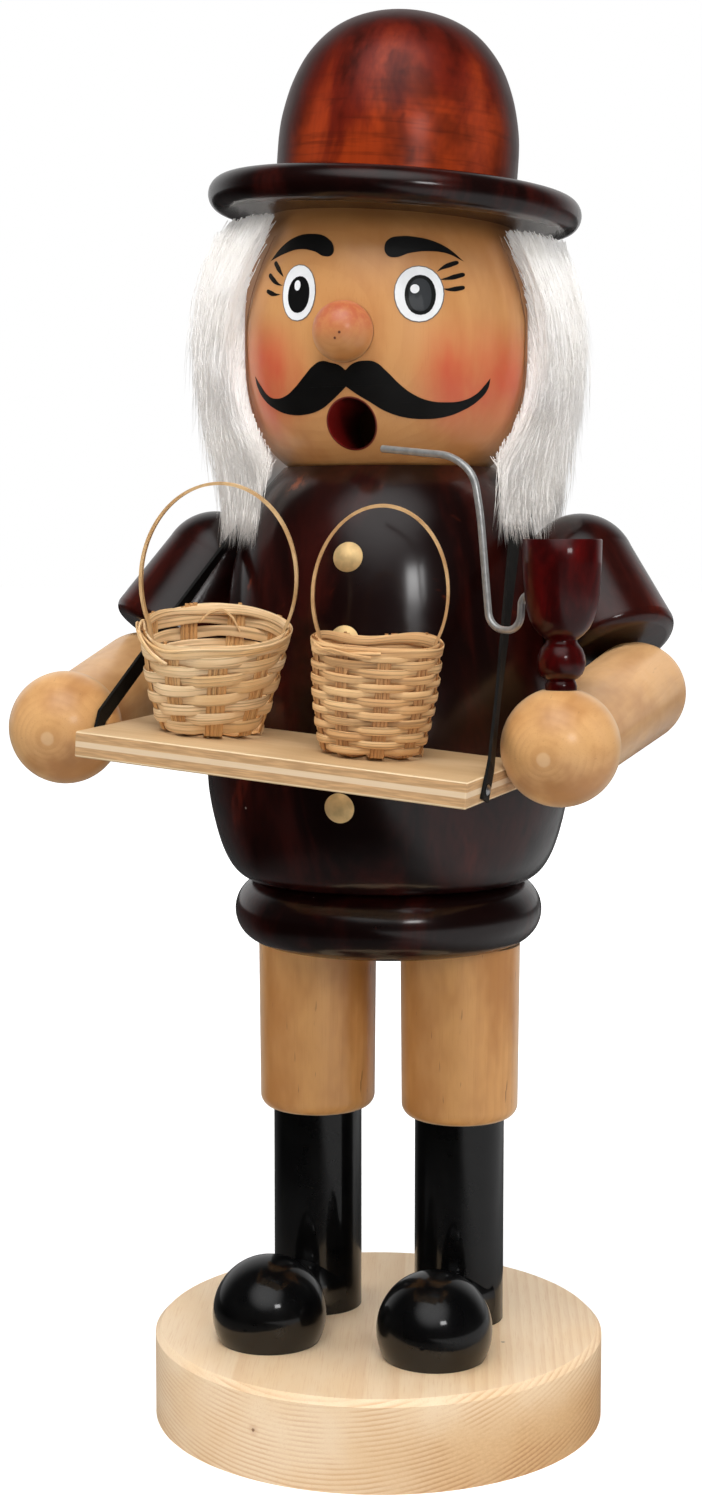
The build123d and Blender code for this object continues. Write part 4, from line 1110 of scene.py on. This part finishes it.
def weaveWall(look, rng):
    # One long strip that winds up in and out of the stakes
    weave = StripMesh()
    count = int(look["rows"] * weaving["pointsPerRow"])
    turn = np.linspace(0, look["rows"] * 2 * np.pi, count)
    share = weaving["firstRow"] + turn / turn[-1] * (weaving["lastRow"] - weaving["firstRow"])
    share = share + wobble(rng, count, look["uneven"] / look["height"], (7, 17, 29, 41, 61))
    square = weaving["squareness"]
    wave = np.tanh(square * np.cos(look["stakes"] * turn / 2)) / math.tanh(square)
    centre, outward, upward = wallPoint(look, turn + wobble(rng, count, 0.03, (9, 23, 37)), share)
    swing = (look["stripThick"] + weaving["strandThick"]) / 2 + weaving["swingGap"]
    centre = centre + outward * (wave * swing)[:, None]
    width = look["strip"] * (1 + wobble(rng, count, 0.28, (11, 19, 31, 53)) + 0.06 * wave)
    weave.add(centre * mm, outward, upward, width * mm, look["stripThick"] * mm)
    return weave


def bendStakes(look, rng):
    # Each stake is a bundle of strands that comes out from under the foot and goes up the wall
    stakes = StripMesh()
    strands = weaving["strandsPerStake"]
    for index in range(look["stakes"]):
        middle = 2 * np.pi * index / look["stakes"]
        cos, sin = math.cos(middle), math.sin(middle)
        for strand in range(strands):
            offset = (strand - (strands - 1) / 2) * look["stake"] / strands
            top = weaving["stakeTop"] + rng.uniform(*weaving["stakeTopSpread"]) + 0.02 * sin
            share = np.concatenate((np.zeros(len(weaving["footWay"])), np.linspace(0.03, top, 14)))
            angle = middle + offset / np.maximum(16, 16 + 6 * share)
            centre, outward, upward = wallPoint(look, angle, share)
            for step, (inset, level) in enumerate(weaving["footWay"]):
                radius = look["foot"] - weaving["wall"] - inset
                centre[step] = (radius * cos, radius * sin, level)
                centre[step] += offset * np.array((-sin, cos, 0)) * (1 if inset < 10 else weaving["footNarrow"])
                tip = 1 if inset > 2 else (0.75 if inset > 1 else 0.35)
                outward[step] = np.array((cos * (1 - tip), sin * (1 - tip), -tip))
                outward[step] /= np.linalg.norm(outward[step])
            across = joined(-np.sin(angle), np.cos(angle), np.zeros_like(angle))
            width = look["stake"] / strands * rng.uniform(*weaving["strandWidth"])
            stakes.add(centre * mm, outward, across, width * mm, rng.uniform(*weaving["strandHeight"]) * mm)
    return stakes


def bindRim(look, rng):
    rim = StripMesh()
    count = weaving["rimPoints"]
    around = np.linspace(0, 2 * np.pi, count, endpoint=False)
    middle, wide, deep = look["rimDip"]
    dip = deep * np.exp(-((np.degrees(around) - middle) / wide) ** 2)
    for radial, level, thick in weaving["rim"]:
        share = level + wobble(rng, count + 1, 0.035, (1, 2, 3, 4))[:-1] - dip
        centre, outward, upward = wallPoint(look, around, share)
        centre = centre + outward * (radial + wobble(rng, count + 1, 0.2, (2, 5, 7))[:-1])[:, None]
        width = thick * (1 + wobble(rng, count + 1, 0.3, (1, 3, 6))[:-1])
        rim.add(centre * mm, outward, upward, width * mm, weaving["strandThick"] * mm, closed=True)
    addLooseEnds(rim, look, rng)
    return rim


def addLooseEnds(rim, look, rng):
    # Strands that were tucked in at the rim and have sprung out
    kernel = np.array((1, 2, 3, 2, 1)) / 9
    for route in look["loose"]:
        marks = np.array(route)
        t = np.linspace(0, len(marks) - 1, 28)
        degrees, share, lift = (np.interp(t, range(len(marks)), column) for column in marks.T)
        share, lift = (np.convolve(np.pad(values, 2, "edge"), kernel, "valid") for values in (share, lift))
        centre, outward, upward = wallPoint(look, np.radians(degrees), share)
        centre = centre + outward * lift[:, None]
        width = rng.uniform(*weaving["looseWidth"])
        rim.add(centre * mm, outward, upward, width * mm, weaving["looseThick"] * mm)


def weaveBasket(name, look):
    rng = np.random.default_rng(look["seed"])
    place = trayPlace @ Matrix.Translation(Vector((look["side"], look["back"], weaving["trayTop"])) * mm)
    place = place @ Matrix.Rotation(math.radians(weaving["turn"]), 4, "Z")
    light = splint(f"{name}Splint", look["light"], look["deep"])
    deep = splint(f"{name}Stake", look["deep"], look["stakeDeep"])
    weaveWall(look, rng).build(f"{name}_weave", place, light, look["slot"], name)
    bendStakes(look, rng).build(f"{name}_stakes", place, deep, look["slot"])
    bindRim(look, rng).build(f"{name}_rim", place, light, look["slot"])


for name, look in baskets.items():
    weaveBasket(name, look)
print("baskets are woven")

# Turned bowl of the pipe

pipe = {
    "foot": (77.5 * mm, -80.95 * mm, 248.95 * mm), "height": 43.0, "recess": 7.5, "recessDepth": 9.0,
    # radius and height of each ring of the outline, from the foot up, in mm
    "outline": (
        (4.5, 0.0), (4.6, 1.2), (4.3, 2.2), (3.9, 2.9), (4.9, 3.4), (6.1, 4.6), (6.75, 6.2), (6.95, 8.0),
        (6.75, 9.9), (6.1, 11.7), (5.1, 13.0), (4.5, 13.7), (4.5, 14.4), (6.0, 15.6), (7.9, 17.6), (9.2, 20.2),
        (10.1, 23.2), (10.65, 26.8), (11.0, 31.0), (11.25, 36.0), (11.35, 42.7), (11.1, 43.0),
    ),
    "turns": 72, "merge": 0.01 * mm,
}


def turnPipe():
    inside, floor = pipe["recess"], pipe["height"] - pipe["recessDepth"]
    rings = [(0, 0), *pipe["outline"], (inside, pipe["height"]), (inside, floor), (0, floor)]
    points = [(radius * mm, 0, height * mm) for radius, height in rings]
    bowl = meshPiece("pipe_turning", points, [], edges=[(i, i + 1) for i in range(len(rings) - 1)])
    lathe = bowl.modifiers.new("lathe", "SCREW")
    lathe.steps = lathe.render_steps = pipe["turns"]
    lathe.use_merge_vertices = True
    lathe.merge_threshold = pipe["merge"]
    applyModifiers(bowl)
    faceOutwards(bowl, pipe["merge"])
    smooth(bowl, 50)
    bowl.data.transform(Matrix.Translation(pipe["foot"]))
    settle(bowl, nodes["pipe_bowl"].data.materials[0], "pipe_bowl")


turnPipe()
print("pipe is turned")

# White fur round the head

fur = {
    "rightReach": 124, "leftReach": 100, "strands": 6400, "sectors": 6, "foot": 291 * mm, "top": 392.5 * mm,
    "rootFoot": 317 * mm, "rootWidth": 0.34 * mm, "headRadius": 48.5 * mm, "thickness": 15 * mm, "seed": 21,
    "edgeShare": 0.35, "edgeAngle": 9, "edgeFade": 20, "topShare": 0.30, "topBand": 10 * mm,
    "brimSlope": 3.2 * mm, "brimSlopeFrom": 370 * mm, "nearTopFrom": 360 * mm, "nearTopAll": 390 * mm,
    "lockWidth": 0.085, "lockDraw": 0.42, "length": (28 * mm, 62 * mm), "uneven": (-3 * mm, 12 * mm),
    "strays": 0.12, "strayReach": (0.02, 0.22), "lift": (0.0, 0.35), "liftTop": (0.1, 0.7), "bow": (0.45, 0.8),
    "depth": 0.4, "curl": 0.025, "jitter": 0.22 * mm, "widths": (0.7, 1.2), "forward": (55, 100),
    "tailFrom": 325 * mm, "tailAll": 293 * mm, "sleeveTop": 303 * mm, "sleeveSide": 36 * mm,
    "drapeLeft": 0.40, "drapeRight": 0.30, "drapeFrom": 336 * mm, "drapeAll": 298 * mm,
    "underBrimLeft": 0.20, "underBrimRight": 0.27, "underBrimFrom": 361 * mm, "underBrimAll": 388 * mm,
    "outline": ((0.91, 0), (0.94, 0.1), (0.99, 0.3), (1.03, 0.55), (1.01, 0.75), (0.93, 0.93), (0.84, 1)),
    "tailDraw": 0.12, "tailDrawRight": 0.34, "spread": 1.9 * mm, "clearance": 0.35 * mm, "reach": 7 * mm,
    "outlineFoot": 297 * mm, "outlineTop": 394.6 * mm, "taper": (1, 1, 0.9, 0.66, 0),
}


def turnedProfile(node, low, high):
    # Outer radius of a turned node at each height, read from the points of its mesh behind the axis
    mesh = nodes[node].data
    points = np.zeros(len(mesh.vertices) * 3)
    mesh.vertices.foreach_get("co", points)
    points = points.reshape(-1, 3) - np.array(figureAxis)
    points = points[points[:, 1] > 0]
    radius = np.hypot(points[:, 0], points[:, 1])
    levels = np.linspace(low, high, 60)
    widest = [radius[np.abs(points[:, 2] - level) < 3 * mm].max(initial=0) for level in levels]
    return levels, np.array(widest)


def between(value, start, full):
    # Share of the way from the start to where it is full
    return np.clip((value - start) / (full - start), 0, 1)


def furOuter(z):
    shares = np.array(fur["outline"])
    height = (z - fur["outlineFoot"]) / (fur["outlineTop"] - fur["outlineFoot"])
    return np.interp(height, shares[:, 1], shares[:, 0]) * (fur["headRadius"] + fur["thickness"])


def furInner(z, shapes):
    headShape, torsoShape = shapes
    return np.maximum(np.interp(z, *headShape), np.interp(z, *torsoShape)) + 0.4 * mm


def pushOut(points, trees):
    # Lifts points that would lie in the wood back onto its surface
    clearance = fur["clearance"]
    for index, point in enumerate(points):
        for tree in trees:
            near, normal = tree.find_nearest(point, fur["reach"])[:2]
            if near is not None and (Vector(point) - near).dot(normal) < clearance:
                points[index] = near + normal * clearance
    return points


def strandMesh(points, width, turn):
    # Three sided strands that run out to a point
    count = len(points)
    around = joined(np.cos(turn), -np.sin(turn), np.zeros_like(turn))
    out = joined(np.sin(turn), np.cos(turn), np.zeros_like(turn))
    blocks = []
    for corner in (90, 210, 330):
        c, s = math.cos(math.radians(corner)), math.sin(math.radians(corner))
        blocks.append(points + (around * c + out * s) * width[..., None] / 2)
    ring = np.stack(blocks, 2)
    strand = np.concatenate([ring[:, :4].reshape(count, 12, 3), points[:, 4:5]], 1)
    faces = [(0, 1, 2)]
    for corner in range(3):
        following = (corner + 1) % 3
        faces.append((9 + corner, 12, 9 + following))
        for a in (0, 3, 6):
            faces.append((a + corner, a + 3 + corner, a + 3 + following, a + following))
    return strand.reshape(-1, 3), [tuple(13 * i + v for v in face) for i in range(count) for face in faces]


def growStrands(rng, sector, begin, end, shapes, trees):
    count = fur["strands"]
    step = (end - begin) / fur["sectors"]
    low = begin + (end - begin) * sector / fur["sectors"]
    t = np.linspace(0, 1, len(fur["taper"]))
    angle = rng.uniform(low, low + step, count)
    outermost = {0: -1, fur["sectors"] - 1: 1}.get(sector, 0)
    if outermost:
        atEdge = rng.uniform(0, 1, count) < fur["edgeShare"]
        inward = rng.uniform(0, math.radians(fur["edgeAngle"]), count)
        angle = np.where(atEdge, end - inward if outermost > 0 else begin + inward, angle)
    # Locks: strands lean towards the middle of the lock that they belong to
    lockAngle = np.round(angle / fur["lockWidth"] + rng.uniform(-0.25, 0.25, count)) * fur["lockWidth"]
    root = fur["rootFoot"] + (fur["top"] - fur["rootFoot"]) * rng.uniform(0, 1, count) ** 0.8
    atTop = rng.uniform(0, 1, count) < fur["topShare"]
    root = np.where(atTop, fur["top"] - fur["topBand"] * rng.uniform(0, 1, count), root)
    root = root - np.sin(angle) * fur["brimSlope"] * between(root, fur["brimSlopeFrom"], fur["nearTopAll"])
    length = rng.uniform(*fur["length"], count)
    edge = np.clip(np.minimum(angle - begin, end - angle) / math.radians(fur["edgeFade"]), 0, 1)
    tip = np.maximum(root - length, fur["foot"] + rng.uniform(*fur["uneven"], count))
    layer = 1 - fur["depth"] * rng.uniform(0, 1, count) ** 1.6
    stray = rng.uniform(0, 1, count) < fur["strays"]
    layer = layer + np.where(stray, rng.uniform(*fur["strayReach"], count), 0)
    nearTop = between(root, fur["nearTopFrom"], fur["nearTopAll"])
    start = rng.uniform(*fur["lift"], count) + nearTop * rng.uniform(*fur["liftTop"], count)
    bow = rng.uniform(*fur["bow"], count)
    lean = (lockAngle - angle)[:, None] * fur["lockDraw"] * t
    turn = angle[:, None] + lean + rng.normal(0, fur["curl"], count)[:, None] * t ** 2
    turn = np.clip(turn, begin - 0.02, end + 0.02)
    z = root[:, None] + (tip - root)[:, None] * t ** 1.15
    # The ends nearest the face fall forward over the shoulders
    fallen = between(z, fur["drapeFrom"], fur["drapeAll"])
    forward = between(np.abs(turn), *np.radians(fur["forward"]))
    turn = turn + np.where(turn > 0, fur["drapeLeft"], -fur["drapeRight"]) * fallen * forward
    # Below the brim the fur is glued further round onto the brow
    raised = between(z, fur["underBrimFrom"], fur["underBrimAll"])
    turn = turn + np.where(turn > 0, fur["underBrimLeft"], -fur["underBrimRight"]) * raised * forward
    share = start[:, None] + (layer - start)[:, None] * t ** bow[:, None]
    share = share * (0.5 + 0.5 * edge)[:, None]
    inner = furInner(z, shapes)
    outer = np.maximum(furOuter(z), inner + 1 * mm)
    lowTail = between(z, fur["tailFrom"], fur["tailAll"])
    draw = np.where(turn < -0.8, fur["tailDrawRight"], fur["tailDraw"])
    radius = inner + (outer - inner) * share * (1 - draw * lowTail)
    points = joined(radius * np.sin(turn), radius * np.cos(turn) + figureAxis.y, z)
    touching = (z < fur["sleeveTop"]) & (np.abs(points[..., 0]) > fur["sleeveSide"])
    points[touching] = pushOut(points[touching], trees)
    points += rng.normal(0, 0.3, (count, 1, 3)) * fur["spread"] * (t ** 2)[:, None]
    points[..., 0] += rng.normal(0, fur["jitter"], (count, len(t))) * t
    width = fur["rootWidth"] * rng.uniform(*fur["widths"], count)[:, None] * np.array(fur["taper"])
    return strandMesh(points, width, turn)


undercoat = {
    "levels": (302 * mm, 389 * mm), "share": 0.62, "sunk": 0.2 * mm, "uneven": 0.25 * mm, "edge": 0.25, "fade": 0.45,
}


def addUndercoat(material, shapes):
    # Dense fur under the strands
    begin, end = -math.radians(fur["rightReach"] - 1), math.radians(fur["leftReach"] - 1)
    around = np.linspace(begin, end, 53)
    levels = np.linspace(*undercoat["levels"], 26)
    inner, outer = furInner(levels, shapes), furOuter(levels)
    depth = np.sin(np.linspace(0.12, np.pi - 0.25, len(levels))) ** 0.5
    middle = inner + np.maximum(outer - inner, 0) * undercoat["share"] * depth
    rng = np.random.default_rng(fur["seed"] + 1)
    grid = []
    for wall in (middle, inner - undercoat["sunk"]):
        for angle in around:
            drawn = min(1, undercoat["edge"] + min(angle - begin, end - angle) / undercoat["fade"])
            radius = inner + (wall - inner) * drawn
            if wall is middle:
                radius = radius + rng.normal(0, undercoat["uneven"], len(levels))
            grid.append(joined(radius * math.sin(angle), radius * math.cos(angle) + figureAxis.y, levels))
    rows, columns = len(around), len(levels)
    size = rows * columns
    faces = []
    for i in range(rows - 1):
        for j in range(columns - 1):
            a, b = i * columns + j, (i + 1) * columns + j
            faces += [(a, b, b + 1, a + 1), (size + a + 1, size + b + 1, size + b, size + a)]
        for a, b in ((i * columns, (i + 1) * columns), ((i + 2) * columns - 1, (i + 1) * columns - 1)):
            faces.append((a, size + a, size + b, b))
    for j in range(columns - 1):
        last = (rows - 1) * columns + j
        faces += [(j, j + 1, size + j + 1, size + j), (size + last, size + last + 1, last + 1, last)]
    coat = meshPiece("fur_undercoat", np.concatenate(grid), faces)
    faceOutwards(coat)
    bpy.ops.object.shade_smooth()
    settle(coat, material, "hair")


glue = {
    "levels": (321 * mm, 388 * mm), "width": 0.7 * mm, "thick": 0.3 * mm, "outside": 0.4, "lift": 0.15 * mm,
    "colour": (0.30, 0.15, 0.07), "points": 60,
}


def addGlueLine(headShape):
    # Brown glue that shows along the front edge of the fur
    rng = np.random.default_rng(fur["seed"] + 2)
    line = StripMesh()
    count = glue["points"]
    levels = np.linspace(*glue["levels"], count)
    raised = between(levels, fur["underBrimFrom"], fur["underBrimAll"])
    for reach in (-fur["rightReach"] - glue["outside"], fur["leftReach"] + glue["outside"]):
        turned = fur["underBrimLeft"] if reach > 0 else -fur["underBrimRight"]
        angle = math.radians(reach) + wobble(rng, count, 0.006) + turned * raised
        radius = np.interp(levels, *headShape) + glue["lift"]
        outward = joined(np.sin(angle), np.cos(angle), np.zeros(count))
        across = joined(np.cos(angle), -np.sin(angle), np.zeros(count))
        centre = outward * radius[:, None] + np.array(figureAxis)
        centre[:, 2] = levels
        width = glue["width"] * (1 + wobble(rng, count, 0.6, (3, 7, 11)))
        line.add(centre, outward, across, width, glue["thick"])
    line.build("fur_glue", Matrix.Identity(4), paint("brownGlue", glue["colour"], 0.4), "white_fur")


def growFur():
    material = furMaterial()
    levels, radii = turnedProfile("head", 318 * mm, 394 * mm)
    headShape = (np.insert(levels, 0, torsoTop), np.insert(radii, 0, radii[0]))
    levels, radii = turnedProfile("torso", 270 * mm, 315 * mm)
    shapes = (headShape, (np.append(levels, 318 * mm), np.append(radii, 0)))
    depsgraph = bpy.context.evaluated_depsgraph_get()
    trees = [BVHTree.FromObject(nodes[name], depsgraph) for name in ("left_sleeve", "right_sleeve", "torso")]
    rng = np.random.default_rng(fur["seed"])
    begin, end = -math.radians(fur["rightReach"]), math.radians(fur["leftReach"])
    for sector in range(fur["sectors"]):
        piece = meshPiece(f"fur_{sector + 1}", *growStrands(rng, sector, begin, end, shapes, trees))
        makeActive(piece)
        bpy.ops.object.shade_smooth()
        settle(piece, material)
    addUndercoat(material, shapes)
    addGlueLine(headShape)


growFur()
print("fur is grown")
